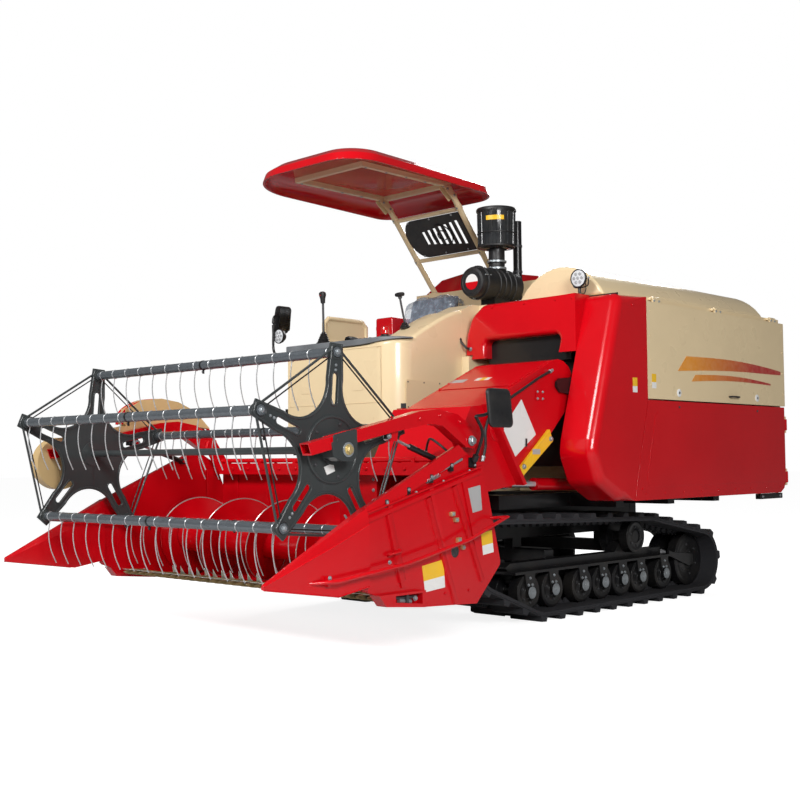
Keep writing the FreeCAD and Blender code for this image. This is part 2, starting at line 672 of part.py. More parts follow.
def make_lid():
    """Red sloping tank lid, hollow underneath, hinged along the right edge."""
    y, z = LID_HINGE
    low = TANK_Z[1] + 5
    ridge = [(RIGHT_Y[0] + 2, low), (RIGHT_Y[0] + 2, low + 12), (-910, 2314), (-680, 2343),
             (-260, 2294), (0, 2246), (RIGHT_Y[1] - 2, low + 12), (RIGHT_Y[1] - 2, low)]
    under = [(RIGHT_Y[0] + 12, low - 1), (RIGHT_Y[0] + 12, low + 6), (-905, 2304), (-680, 2333),
             (-260, 2284), (-4, 2236), (RIGHT_Y[1] - 12, low + 6), (RIGHT_Y[1] - 12, low - 1)]
    shell = front_prism(ridge, *LID_X).cut(front_prism(under, LID_X[0] + 8, LID_X[1] - 8))
    parts = [shell]
    for hx in (-2100.0, -1180.0):
        parts.append(cyl((hx - 40, y, z), (hx + 40, y, z), HINGE_R + 6))
        parts.append(box(hx - 40, hx + 40, y, RIGHT_Y[0] + 6, z - 4, z + 4))
    whole = fuse(parts)
    for hx in (-2100.0, -1180.0):
        whole = whole.cut(cyl((hx - 45, y, z), (hx + 45, y, z), HINGE_R + HINGE_FIT))
    return whole


def make_unloader():
    """Swinging unloading tube with its elbow and spout."""
    x, y = UNLOAD
    z = UNLOAD_Z[1] + UNLOAD_R
    elbow = fuse([cyl((x, y, UNLOAD_Z[1] - 59), (x, y, z), UNLOAD_R), Part.makeSphere(UNLOAD_R, V(x, y, z)),
                  cyl((x, y, z), (-640, y, z), UNLOAD_R)])
    spout = front_prism([(y - 62, z + 40), (y + 62, z + 40), (y + 50, z - 150), (y - 50, z - 150)],
                        -700, -560)
    socket = cyl((x, y, UNLOAD_Z[1] - 70), (x, y, UNLOAD_Z[1] + RUNNING), 50 + RUNNING)
    return fuse([elbow, spout]).cut(socket)


def make_engine_cover():
    """Beige engine enclosure under the seat with a raised plinth at the left."""
    x0, x1 = TANK_X[1], COVER_FRONT
    y0, y1 = RIGHT_Y
    shell = box(x0, x1, y0, y1, DECK_Z, COVER_TOP)
    shell = shell.cut(box(x0 + 14, x1 - 14, y0 + 14, y1 - 14, DECK_Z - 1, COVER_TOP - 14))
    shell = shell.cut(box(x0 + 90, x1 - 90, y0 - 1, y0 + 15, 860, 1420))
    y0, y1 = PLINTH_Y
    plinth = side_prism([(x0, COVER_TOP - 1), (x1, COVER_TOP - 1), (x1, 1930), (-263, PLINTH_TOP),
                         (x0, PLINTH_TOP)], y0, y1)
    plinth = plinth.cut(box(HOOD_X[0], x1 + 1, 0, y1 + 1, COVER_TOP - 2, PLINTH_TOP + 1))
    return fuse([shell, plinth])


def make_grille():
    """Radiator screen set into the engine enclosure's right side."""
    x0, x1 = TANK_X[1] + 90, COVER_FRONT - 90
    y0 = RIGHT_Y[0]
    bars = [box(x0, x1, y0, y0 + 12, 860, 885), box(x0, x1, y0, y0 + 12, 1395, 1420),
            box(x0, x0 + 25, y0, y0 + 12, 860, 1420), box(x1 - 25, x1, y0, y0 + 12, 860, 1420)]
    bars += [box(x0, x1, y0 + 2, y0 + 10, z, z + 14) for z in range(920, 1390, 40)]
    return fuse(bars)


def make_platform():
    """Operator floor with its legs and a side step."""
    front, r = SHROUD_X[0], CORNER_R
    parts = [plan_prism([(COVER_FRONT, RIGHT_Y[0]), (front, RIGHT_Y[0]), (front, -r + 40),
                         (SHROUD_X[1] - r, 0), (COVER_FRONT, 0)], *FLOOR_Z)]
    for y in (-900.0, -200.0):
        parts.append(box(*LEG_X, y - 40, y + 40, DECK_Z, FLOOR_Z[0] + 1))
    parts.append(box(60, 340, -1120, RIGHT_Y[0] + 1, 985, 1010))
    for x in (60.0, 325.0):
        parts.append(box(x, x + 15, -1095, RIGHT_Y[0], 985, FLOOR_Z[0] + 20))
    parts.append(box(60, 75, RIGHT_Y[0] - 15, RIGHT_Y[0] + 1, 985, FLOOR_Z[0] + 1))
    return fuse(parts)


def corner_plan(front, rear, right, left, radius):
    """Plan outline with its front left corner rounded, as a wire at z = 0."""
    cx, cy, k = front - radius, left - radius, radius / 2 ** 0.5
    a, b = V(front, cy, 0), V(cx, left, 0)
    arc = Part.Arc(a, V(cx + k, cy + k, 0), b).toShape()
    chain = Part.makePolygon([b, V(rear, left, 0), V(rear, right, 0), V(front, right, 0), a])
    return Part.Face(Part.Wire([arc] + chain.Edges))


def make_fairing():
    """Front panel and left console in one skin with a round corner and a rising top."""
    front, back = SHROUD_X[1], COVER_FRONT
    whole = corner_plan(front, back, SHROUD_Y, 0.0, CORNER_R).extrude(V(0, 0, 2000))
    side = side_prism([(back, FLOOR_Z[1]), (SHROUD_X[0], FLOOR_Z[1]), (SHROUD_X[0], 1150),
                       (front - 12, 1150), (front, FLOOR_Z[1]), (front, DASH_Z[0]), (385, DASH_Z[0]),
                       (385, DASH_Z[1] - 2), (125, 1827), (-87, 1915), (back, 1930)], SHROUD_Y, 0)
    room = box(back - 1, SHROUD_X[0], SHROUD_Y - 1, CONSOLE_Y, FLOOR_Z[0], 2001)
    return whole.common(side).cut(room)


def make_dash():
    """Strip along the top of the front panel, following its round corner."""
    low, high = DASH_Z
    strip = corner_plan(SHROUD_X[1] + 8, SHROUD_X[0] - 60, SHROUD_Y - 8, 5.0, CORNER_R + 5)
    return strip.extrude(V(0, 0, high - low)).translated(V(0, 0, low))


def make_seat():
    """Seat on its box: base, cushion and raked back."""
    base = box(-560, -200, -830, -470, COVER_TOP, 1690)
    cushion = rounded(box(-590, -70, -880, -420, 1690, 1800), 38.0, lambda e: along(e, "y"))
    back = side_prism([(-600, 1780), (-500, 1780), (-575, 2125), (-655, 2125)], -880, -420)
    back = rounded(back, 30.0, lambda e: along(e, "y") and e.Vertexes[0].Z > 2000)
    return fuse([base, cushion, back])


def make_levers():
    """Speed lever with bellows, T lever and turn knob."""
    top = DASH_Z[1]
    boot = Part.makeCone(42, 16, 70, V(436, -700, top))
    speed = fuse([boot, cyl((436, -700, top + 65), (441, -700, 2030), 9),
                  Part.makeCone(17, 25, 40, V(441, -700, 2028))])
    x, y = 180.0, -200.0
    slope = 1827 + (125 - x) * (1827 - top + 2) / (385 - 125)
    tee = fuse([cyl((x, y, slope - 10), (x + 48, y, 2015), 8), cyl((x + 48, y - 35, 2018), (x + 48, y + 35, 2018), 15),
                box(x - 30, x + 30, y - 25, y + 25, slope - 10, slope + 24)])
    knob = cyl((395, -170, top), (395, -170, top + 75), 27)
    fairing = nodes["front_fairing"]
    return Part.makeCompound([speed, tee.cut(fairing), knob.cut(fairing)])


def make_guard():
    """Tubular side guard with its infill sheet."""
    front, rear, y, top = 100.0, -310.0, -1060.0, 1950.0
    rail = rod([(front, y, FLOOR_Z[1]), (front, y, top - 40), (front - 40, y, top), (rear + 40, y, top),
                (rear, y, top - 40), (rear, y, COVER_TOP)], 16)
    mid = rod([(front, y, top - 160), (rear, y, top - 160)], 12)
    panel = box(rear + 10, front - 10, y - 4, y + 4, top - 150, top - 10)
    return fuse([rail, mid, panel])


nodes["lower_body"] = make_lower_body()
nodes["grain_tank"] = make_tank()
nodes["tank_lid"] = make_lid()
nodes["unloading_tube"] = make_unloader()
nodes["engine_cover"] = make_engine_cover()
nodes["engine_block"] = box(-790, -240, -930, -170, DECK_Z, 1380)
nodes["radiator_grille"] = make_grille()
nodes["platform"] = make_platform()
nodes["front_fairing"] = make_fairing()
nodes["dash_strip"] = make_dash()
nodes["seat"] = make_seat()
nodes["levers"] = make_levers()
nodes["side_guard"] = make_guard()
nodes["tool_box"] = box(-700, -420, -1070, -900, COVER_TOP, 1990)


# ---- canopy and fittings ------------------------------------------------------------------------

def roof_wire(inset, z):
    """Plan outline of the canopy pulled in by inset, each corner with its own radius."""
    x0, x1 = ROOF_X[0] + inset, ROOF_X[1] - inset
    y0, y1 = ROOF_Y[0] + inset, ROOF_Y[1] - inset
    corners = ((x1, y1, 1, 1), (x0, y1, -1, 1), (x0, y0, -1, -1), (x1, y0, 1, -1))
    edges, last = [], None
    for quarter, (x, y, sx, sy) in enumerate(corners):
        r = max(ROOF_CORNERS[quarter] - inset * 0.6, 60)
        cx, cy = x - sx * r, y - sy * r
        turns = [radians(90 * quarter + d) for d in (0, 45, 90)]
        a, b, c = (V(cx + r * cos(t), cy + r * sin(t), z) for t in turns)
        if last:
            edges.append(Part.makeLine(last, a))
        edges.append(Part.Arc(a, b, c).toShape())
        last = c
    edges.append(Part.makeLine(last, edges[0].Vertexes[0].Point))
    return Part.Wire(edges)


def roof_solid(shrink, drop, foot):
    """Dome lofted through shrinking outlines, from the lip to the crown."""
    rise = ROOF_CROWN - ROOF_LIP
    steps = ((0.0, 0.0), (14.0, 0.36), (70.0, 0.66), (190.0, 0.88), (390.0, 1.0))
    wires = [roof_wire(shrink, ROOF_LIP - foot)] if foot else []
    wires += [roof_wire(inset + shrink, ROOF_LIP + share * rise - drop) for inset, share in steps]
    return Part.makeLoft(wires, True, True)


def make_roof():
    """Shallow canopy shell with drooping edges, nose up a little, flat above its frame."""
    hinge = V(ROOF_X[0] + 30, 0, ROOF_LIP)
    outer, inner = roof_solid(0.0, 0.0, 0.0), roof_solid(ROOF_SHEET, ROOF_SHEET, 20.0)
    for solid in (outer, inner):
        solid.rotate(hinge, V(0, 1, 0), -ROOF_PITCH)
    below = box(ROOF_X[0] - 100, ROOF_X[1] + 100, ROOF_Y[0] - 100, ROOF_Y[1] + 100,
                ROOF_LIP - 200, ROOF_UNDER)
    return outer.cut(inner.common(below))


def on_post(z):
    """X of the raked posts' axis at height z."""
    run = (POST_FOOT[0] - POST_TOP[0]) / (POST_FOOT[1] - POST_TOP[1])
    return POST_TOP[0] + (z - POST_TOP[1]) * run


def bar_heights():
    """Z of the posts' two cross bars."""
    (_, top), (_, foot) = POST_TOP, POST_FOOT
    return [foot + share * (top - foot) for share in BAR_SHARE]


def make_canopy_frame():
    """Tube frame under the roof and the two raked posts with their cross bars."""
    top, t = ROOF_UNDER, FRAME_TUBE
    foot = POST_FOOT[1]
    parts = []
    for y in POST_Y:
        parts.append(box(*FRAME_X, y - t / 2, y + t / 2, top - t, top))
        post = cyl((on_post(top - 20), y, top - 20), (on_post(foot - 60), y, foot - 60), POST_R)
        parts.append(post.cut(box(-1200, -800, y - 60, y + 60, foot - 120, foot)))
        parts.append(box(POST_FOOT[0] - 45, POST_FOOT[0] + 35, y - 40, y + 40, foot, foot + 10))
    for x in (FRAME_X[0], FRAME_X[1] - t):
        parts.append(box(x, x + t, *POST_Y, top - t, top))
    for z in bar_heights():
        parts.append(cyl((on_post(z), POST_Y[0], z), (on_post(z), POST_Y[1], z), 15))
    return fuse(parts)


def make_fan_plate():
    """Slotted black plate between the posts' cross bars, its right end rounded."""
    low, high = bar_heights()
    za, zb = low + 15, high - 15
    left, right = POST_Y[1] - POST_R, POST_Y[0] + POST_R
    plate = side_prism([(on_post(za) - 4, za), (on_post(za) + 4, za), (on_post(zb) + 4, zb),
                        (on_post(zb) - 4, zb)], right, left)
    corners = box(-1000, 0, right - 1, right + 120, za - 1, zb + 1).cut(
        cyl((-1000, right + 120, (za + zb) / 2), (0, right + 120, (za + zb) / 2), (zb - za) / 2))
    slots = [box(-900, -300, left - k, left - k + 26, za + 38 + k * 0.1, zb - 38 - k * 0.1)
             for k in range(80, 420, 56)]
    return plate.cut(fuse([corners] + slots))


def make_air_cleaner():
    """Pre-cleaner bowl, neck and horizontal canister on a saddle."""
    x0, x1, z, r = CANISTER
    bx, foot, top, wide = BOWL
    can = cyl((x1, 0, z), (x0, 0, z), r)
    saddle = box(x0 + 110, x1 - 127, -60, 60, PLINTH_TOP, z - r + 38)
    neck = cyl((bx, 0, z + 73), (bx, 0, foot + 3), 55)
    bowl = cyl((bx, 0, foot), (bx, 0, top), wide)
    cap = Part.makeCone(wide, wide / 2, 27, V(bx, 0, top))
    return fuse([can, saddle, neck, bowl, cap])


def make_exhaust():
    """Upright pipe out of a wider silencer stub."""
    x, top = EXHAUST_X, EXHAUST_TOP
    pipe = fuse([cyl((x, 0, PLINTH_TOP), (x, 0, top), 30), cyl((x, 0, PLINTH_TOP), (x, 0, PLINTH_TOP + 20), 55)])
    return pipe.cut(cyl((x, 0, top - 300), (x, 0, top + 5), 26))


def make_work_lamps():
    """Front lamp standing on the hood."""
    y, z = 870.0, 2050.0
    stem = cyl((-260, y - 10, HOOD_TOP), (-260, y - 10, z - 40), 12)
    body = fuse([cyl((-295, y, z), (-245, y, z), 52), cyl((-245, y, z), (-232, y, z), 58)])
    return fuse([stem, body])


def make_right_mirror():
    """Right mirror and its round lamp on one bent bracket from the front panel."""
    arm = rod([(465, SHROUD_Y, 1640), (465, -1040, 1640), (475, -1120, 1670), (490, -1150, 1700),
               (490, -1150, 1930), (440, -1150, 1960)], 10)
    glass = side_prism([(474, 1990), (356, 2031), (317, 1852), (440, 1815)], -1162, -1138)
    y, z = -1110.0, 1800.0
    lamp = cyl((452, y, z), (478, y, z), 52)
    return fuse([arm, glass, lamp, cyl((470, y, z), (488, -1148, z), 9)])


nodes["canopy_roof"] = make_roof()
nodes["canopy_frame"] = make_canopy_frame()
nodes["slotted_plate"] = make_fan_plate()
nodes["air_cleaner"] = make_air_cleaner()
nodes["exhaust_pipe"] = make_exhaust()
nodes["work_lamp"] = make_work_lamps()
nodes["right_mirror"] = make_right_mirror()


# ---- feeder and header --------------------------------------------------------------------------

def feeder_outline(inset):
    """Side outline of the feeder, its rear end rounded about the lift pivot."""
    px, pz = LIFT_PIVOT
    pts = [(662, 1251 - inset), (422, 1359 - inset)]
    r = 158.0 - inset
    for i in range(9):
        a = radians(68 + i * (238 - 68) / 8)
        pts.append((px + r * cos(a), pz + r * sin(a)))
    pts.append((363 if inset == 0 else 363 + inset, 808 + inset * 1.4))
    return pts


def make_feeder():
    """Hollow feeder duct carried on the body's two pivot pins."""
    y0, y1 = FEEDER_Y
    px, pz = LIFT_PIVOT
    shell = side_prism(feeder_outline(0.0), y0, y1)
    cavity = side_prism([(662 + 60, 1241), (662, 1241 - 0), (422, 1347), (60, 1508), (-150, 1385),
                         (-60, 1270), (370, 822), (420, 790)], y0 + FEEDER_WALL, y1 - FEEDER_WALL)
    shell = shell.cut(cavity)
    bosses = [cyl((px, y0, pz), (px, y0 + 40, pz), 45), cyl((px, y1 - 40, pz), (px, y1, pz), 45)]
    shell = fuse([shell] + bosses)
    for a, b in ((y0 - 1, y0 + 41), (y1 - 41, y1 + 1)):
        shell = shell.cut(cyl((px, a, pz), (px, b, pz), PIVOT_PIN_R + RUNNING))
    ex, ez = LIFT_CYL_EYE
    ears = [side_prism([(ex - 25, ez - 22), (ex + 25, ez - 22), (ex + 66, 850), (ex - 20, 905)],
                       LIFT_CYL_Y + s - 6, LIFT_CYL_Y + s + 6) for s in (-32, 32)]
    ears = fuse(ears).cut(side_prism(feeder_outline(0.0), y0 + 2, y1 - 2))
    pin = cyl((ex, LIFT_CYL_Y - 38, ez), (ex, LIFT_CYL_Y + 38, ez), 14)
    return fuse([shell, ears, pin])


ADAPTER = [(662.0, 1251.0), (780.0, 1240.0), (WALL_X - SHEET, 935.0), (WALL_X - SHEET, 560.0),
           (720.0, 760.0), (363.0, 808.0)]


def make_adapter():
    """Duct and ribbed flange joining the feeder to the header's back wall."""
    y0, y1 = FEEDER_Y
    outer = side_prism(ADAPTER, y0, y1)
    inner = [(650, 1239), (774, 1228), (WALL_X, 915), (WALL_X, 578), (724, 772), (370, 822)]
    duct = outer.cut(side_prism(inner, y0 + 12, y1 - 12))
    flange = [side_prism([(668, 1252), (690, 1252), (392, 800), (366, 808)], a, b)
              for a, b in ((y0 - 60, y0 + 2), (y1 - 2, y1 + 60))]
    return fuse([duct] + flange)


def trough_profile(offset):
    """Trough line from the knife back round the auger and up the wall, moved out by offset."""
    tilt = radians(FLOOR_TILT)
    r = TROUGH_R + offset
    end = AUGER[0] + r * sin(tilt), AUGER[1] - r * cos(tilt)
    run = KNIFE_X - end[0]
    pts = [(KNIFE_X, end[1] + run * sin(tilt) / cos(tilt)), end]
    steps = 9
    for i in range(1, steps + 1):
        a = radians(-90 + FLOOR_TILT) - i * radians(90 + FLOOR_TILT) / steps
        pts.append((AUGER[0] + r * cos(a), AUGER[1] + r * sin(a)))
    return pts + [(WALL_X - offset, 935.0)]


def make_trough():
    """Header table: curved sheet, top beam, the reel arms' posts and the feeder's opening."""
    sheet = side_prism(trough_profile(0.0) + trough_profile(SHEET)[::-1], -PANEL_IN, PANEL_IN)
    low, top = 866.0, 935.0
    beam = box(WALL_X, WALL_X + 70, -PANEL_IN, PANEL_IN, low, top)
    px, pz = ARM_PIVOT
    post = side_prism([(WALL_X, low), (WALL_X + 70, low), (px + 42, pz - 10), (px + 28, pz + 34),
                       (px - 28, pz + 34), (WALL_X, top)], *ARM_POST_Y)
    pin = cyl((px, ARM_POST_Y[0] + 2, pz), (px, ARM_Y[1] + 5, pz), ARM_PIN_R)
    whole = fuse([sheet, beam, post, pin, mirrored(post), mirrored(pin)])
    return whole.cut(box(WALL_X - 60, WALL_X + 5, FEEDER_Y[0] + 12, FEEDER_Y[1] - 12, 578, low))


PANEL = [(1850, 706), (1015, 914), (960, 790), (864, 423), (868, 400), (1057, 218), (1435, 237),
         (1726, 301), (1850, 345)]
RIDGE = ((1850, 730), (1183, 1024))         # top fold of the end wall, front and rear
BLADE = [RIDGE[0], (1850, 704), (1655, 745), (1478, 820), (1321, 888), (1120, 978), RIDGE[1]]
WALL = [(1850, 690), (1850, 730), RIDGE[1], (1016, 932), (1015, 900)]
PANEL_RIBS = (((1690, 736), (1600, 345)), ((1400, 810), (1285, 455)), ((1285, 455), (1216, 245)),
              ((1160, 868), (1010, 340)))
SKID = [(1800, 325), (1753, 269), (1482, 243), (1481, 325)]
SKID_POCKET = [(1690, 284), (1690, 314), (1505, 314), (1505, 262)]
NOSE_REAR = (1850, ((1078, 372), (NOSE_OUT, 372), (NOSE_OUT, 655), (1132, 730), (1088, 730), (1078, 655)))
NOSE_MID = (2040, ((1088, 341), (1142, 341), (1142, 575), (1130, 634), (1095, 634), (1088, 575)))
NOSE_TIP = (2459, ((1110, 405), (1126, 405), (1126, 418), (1122, 427), (1114, 427), (1110, 418)))


def frustum(base, tip):
    """Solid between two matching polygons of points."""
    faces = [face_of([V(*p) for p in base]), face_of([V(*p) for p in tip])]
    count = len(base)
    for i in range(count):
        j = (i + 1) % count
        a, b, c, d = (V(*base[i]), V(*base[j]), V(*tip[j]), V(*tip[i]))
        faces += [face_of([a, b, c]), face_of([a, c, d])]
    solid = Part.makeSolid(Part.makeShell(faces))
    if solid.Volume < 0:
        solid.reverse()
    return solid


def strip(a, b, half, y0, y1):
    """Straight bar of the given half width between two (x, z) points."""
    size = hypot(b[0] - a[0], b[1] - a[1])
    nx, nz = -(b[1] - a[1]) / size * half, (b[0] - a[0]) / size * half
    return side_prism([(a[0] + nx, a[1] + nz), (b[0] + nx, b[1] + nz), (b[0] - nx, b[1] - nz),
                       (a[0] - nx, a[1] - nz)], y0, y1)


def make_nose():
    """Divider nose tapering forward through three sections."""
    rings = [[(x, y, z) for y, z in ring] for x, ring in (NOSE_REAR, NOSE_MID, NOSE_TIP)]
    return [frustum(rings[0], rings[1]), frustum(rings[1], rings[2])]


def make_end_panel():
    """Left end of the header: ribbed skin, inner wall with its ridge and blade, nose and skid."""
    outer = HEADER_HALF
    skin = side_prism(PANEL, PANEL_IN, outer)
    wall = side_prism(WALL, PANEL_IN, PANEL_IN + PANEL_SHEET)
    (fx, fz), (rx, rz) = RIDGE
    fold = side_prism([(fx, fz), (rx, rz), (rx, rz - 5), (fx, fz - 5)], PANEL_IN, outer)
    blade = side_prism(BLADE, outer - 5, outer)
    ribs = [strip(a, b, 15.0, outer - 1, outer + 8) for a, b in PANEL_RIBS]
    lip = [strip(PANEL[0], PANEL[1], 4.0, outer - 1, outer + 16),
           strip((1846, 700), (1846, 350), 4.0, outer - 1, outer + 16)]
    skid = side_prism(SKID, PANEL_IN, outer + 40).cut(side_prism(SKID_POCKET, outer - 6, outer + 41))
    bx, bz = REEL_CYL_BASE
    pin = cyl((bx, PANEL_IN + 3, bz), (bx, REEL_CYL_Y - 20, bz), REEL_PIN_R)
    whole = fuse([skin, wall, fold, blade, skid, pin] + ribs + lip + make_nose())
    bore = cyl((AUGER[0], PANEL_IN - 1, AUGER[1]), (AUGER[0], outer + 1, AUGER[1]), STUB_R + RUNNING)
    return whole.cut(bore)


def make_knife():
    """Cutter bar with its row of guards."""
    tilt = radians(FLOOR_TILT)
    bar = box(0, 46, -PANEL_IN + 5, PANEL_IN - 5, -9, 3)
    pitch, count = 76.2, 28
    guards = []
    for i in range(count):
        y = (i - (count - 1) / 2) * pitch
        guards.append(front_wedge(y, 9.0))
    whole = fuse([bar] + guards)
    whole.rotate(V(0, 0, 0), V(0, 1, 0), -FLOOR_TILT)
    line = trough_profile(0.0)[0]
    whole.translate(V(KNIFE_X + 0.0, 0, line[1]))
    return whole.cut(side_prism(trough_profile(0.0) + trough_profile(SHEET)[::-1], -PANEL_IN, PANEL_IN))


def front_wedge(y, half):
    """One pointed guard finger at the given width position."""
    return side_prism([(6, -9), (104, -5), (104, -1), (50, 10), (6, 10)], y - half, y + half)


def make_rods():
    """Outer crop guide rods, one on each end."""
    y = HEADER_HALF + 75
    one = rod([(2215, 1122, 412), (2170, 1150, 413), (2080, y, 418), (1653, y, 463), (1200, y, 550),
               (900, y, 650), (935, HEADER_HALF - 4, 645)], 9)
    return both(one.cut(nodes["end_panel_left"]))


def make_prop():
    """Yellow lift prop folded along the feeder's left side."""
    y = FEEDER_Y[1]
    bar = side_prism([(400, 880), (366, 840), (60, 1052), (92, 1122)], y, y + 22)
    return bar


def make_left_mirror():
    """Near mirror on a stalk from the header's end."""
    stalk = rod([(1159, PANEL_IN + 2, 917), (1159, 1240, 917), (1159, 1240, 1150), (1080, 1240, 1180)], 9)
    plate = side_prism([(1136, 1319), (957, 1339), (872, 1118), (1065, 1096)], 1231, 1262)
    return fuse([stalk, plate]).cut(nodes["end_panel_left"])


nodes["feeder_house"] = make_feeder()
nodes["header_adapter"] = make_adapter()
nodes["header_table"] = make_trough()
nodes["end_panel_left"] = make_end_panel()
nodes["end_panel_right"] = mirrored(nodes["end_panel_left"])
nodes["knife_bar"] = make_knife()
nodes["guide_rods"] = make_rods()
nodes["lift_prop"] = make_prop()
nodes["left_mirror"] = make_left_mirror()


# ---- feed auger ---------------------------------------------------------------------------------

def flight(y0, y1, pitch, hand, start):
    """Screw flight built from flat triangles between the drum and the tips."""
    steps = max(2, int(round((y1 - y0) / pitch * 12)))
    t = 5.0
    rings = []
    for i in range(steps + 1):
        f = i / steps
        y = y0 + (y1 - y0) * f
        a = start + hand * 2 * pi * (y - y0) / pitch
        ring = []
        for r, dy in ((DRUM_R - 6, 0), (AUGER_R, 0), (AUGER_R, t), (DRUM_R - 6, t)):
            ring.append(V(AUGER[0] + r * cos(a), y + dy, AUGER[1] + r * sin(a)))
        rings.append(ring)
    faces = [face_of(rings[0]), face_of(rings[-1])]
    for p, q in zip(rings, rings[1:]):
        for k in range(4):
            j = (k + 1) % 4
            faces += [face_of([p[k], p[j], q[j]]), face_of([p[k], q[j], q[k]])]
    solid = Part.makeSolid(Part.makeShell(faces))
    if solid.Volume < 0:
        solid.reverse()
    return solid


def make_auger():
    """Drum, two opposed screw flights and the fingers before the feeder."""
    x, z = AUGER
    drum = cyl((x, -PANEL_IN + 12, z), (x, PANEL_IN - 12, z), DRUM_R)
    stubs = cyl((x, -HEADER_HALF + 2, z), (x, HEADER_HALF - 2, z), STUB_R)
    parts = [drum, stubs, flight(-PANEL_IN + 20, FEEDER_Y[0] + 20, 430.0, 1, 0.4),
             flight(FEEDER_Y[1] - 20, PANEL_IN - 25, 430.0, -1, 1.9)]
    for i in range(10):
        a, y = radians(137 * i), 320 + 48 * i
        parts.append(cyl((x, y, z), (x + 220 * cos(a), y, z + 220 * sin(a)), 7))
    return fuse(parts)


nodes["feed_auger"] = make_auger()


# ---- reel ---------------------------------------------------------------------------------------

def spoke(i):
    return radians(REEL_PHASE + 90 + 72 * i)


def at(radius, angle, y):
    return V(REEL[0] + radius * cos(angle), y, REEL[1] + radius * sin(angle))


def star_plate():
    """Pressed plate with five nearly parallel-sided arms, and its slots and tube holes."""
    y = STAR_Y
    tip, hip, waist = REEL_R + 40.0, 330.0, 205.0
    tip_half, hip_half = 38.0, 52.0

    def beside(r, a, side):
        return at(r, a, y) + V(-sin(a), 0, cos(a)) * side
    edges = []
    for i in range(5):
        a, b = spoke(i), spoke(i) + radians(72)
        chain = [beside(hip, a, -hip_half), beside(tip, a, -tip_half), beside(tip, a, tip_half),
                 beside(hip, a, hip_half)]
        edges += Part.makePolygon(chain).Edges
        edges.append(Part.Arc(chain[-1], at(waist, (a + b) / 2, y), beside(hip, b, -hip_half)).toShape())
    plate = Part.Face(Part.Wire(edges)).extrude(V(0, STAR_T, 0))
    cuts = []
    for i in range(5):
        a = spoke(i)
        ends = [at(r, a, y - 1) for r in (225, 341)]
        side = V(-sin(a), 0, cos(a)) * 16
        cuts.append(face_of([ends[0] + side, ends[1] + side, ends[1] - side, ends[0] - side])
                    .extrude(V(0, STAR_T + 2, 0)))
        cuts += [Part.makeCylinder(16, STAR_T + 2, e, V(0, 1, 0)) for e in ends]
        cuts.append(Part.makeCylinder(TINE_TUBE_R + RUNNING, STAR_T + 2, at(REEL_R, a, y - 1), V(0, 1, 0)))
    return plate.cut(fuse(cuts))


def make_star():
    """End plate with its raised hub disc and the tie rods between its tips."""
    y = STAR_Y
    ties = []
    for i in range(5):
        a, b = spoke(i) + radians(4.2), spoke(i) + radians(67.8)
        ties.append(cyl(tuple(at(REEL_R + 6, a, y + 5)), tuple(at(REEL_R + 6, b, y + 5)), 6))
    disc = cyl((REEL[0], y + STAR_T - 1, REEL[1]), (REEL[0], y + STAR_T + 6, REEL[1]), 160)
    hub = cyl((REEL[0], y - 6, REEL[1]), (REEL[0], y + STAR_T + 14, REEL[1]), 70)
    return fuse([star_plate(), disc, hub] + ties)


def make_reel():
    reach = ARM_Y[1] + HANGER + 4
    shaft = cyl((REEL[0], -reach, REEL[1]), (REEL[0], reach, REEL[1]), SHAFT_R)
    star = make_star()
    return fuse([shaft, star, mirrored(star)])


def make_tine_bar(i):
    """One tine tube with its row of hanging tines."""
    c = at(REEL_R, spoke(i), 0)
    end = STAR_Y + STAR_T + 8
    span = 2 * (STAR_Y - TINE_INSET)
    parts = [cyl((c.x, -end, c.z), (c.x, end, c.z), TINE_TUBE_R)]
    for s in (-1, 1):
        a, b = sorted((s * (STAR_Y - 3), s * (STAR_Y - 18)))
        parts.append(cyl((c.x, a, c.z), (c.x, b, c.z), TINE_TUBE_R + 8))
    curve = [(0, -20), (9, -0.29 * TINE_DROP), (8, -0.5 * TINE_DROP), (-8, -0.75 * TINE_DROP),
             (-38, -TINE_DROP)]
    pts = [(c.x + x - 3, c.z + z) for x, z in curve] + [(c.x + x + 3, c.z + z) for x, z in curve[::-1]]
    for k in range(TINES):
        y = span * (k / (TINES - 1) - 0.5)
        parts.append(side_prism(pts, y - 3, y + 3))
    return fuse(parts)


ARM = [(1038, 1082), (1120, 1137), (1198, 1178), (1338, 1200), (1473, 1188), (1681, 1139),
       (2203, 1027), (2183, 974), (2042, 1004), (1632, 1088), (1400, 1127), (1311, 1118), (1214, 1060),
       (1130, 1012), (1072, 1006), (1040, 1036)]
HANGER_PLATE = [(1925, 1088), (2061, 1059), (2047, 970), (1999, 955), (1942, 955), (1925, 978)]


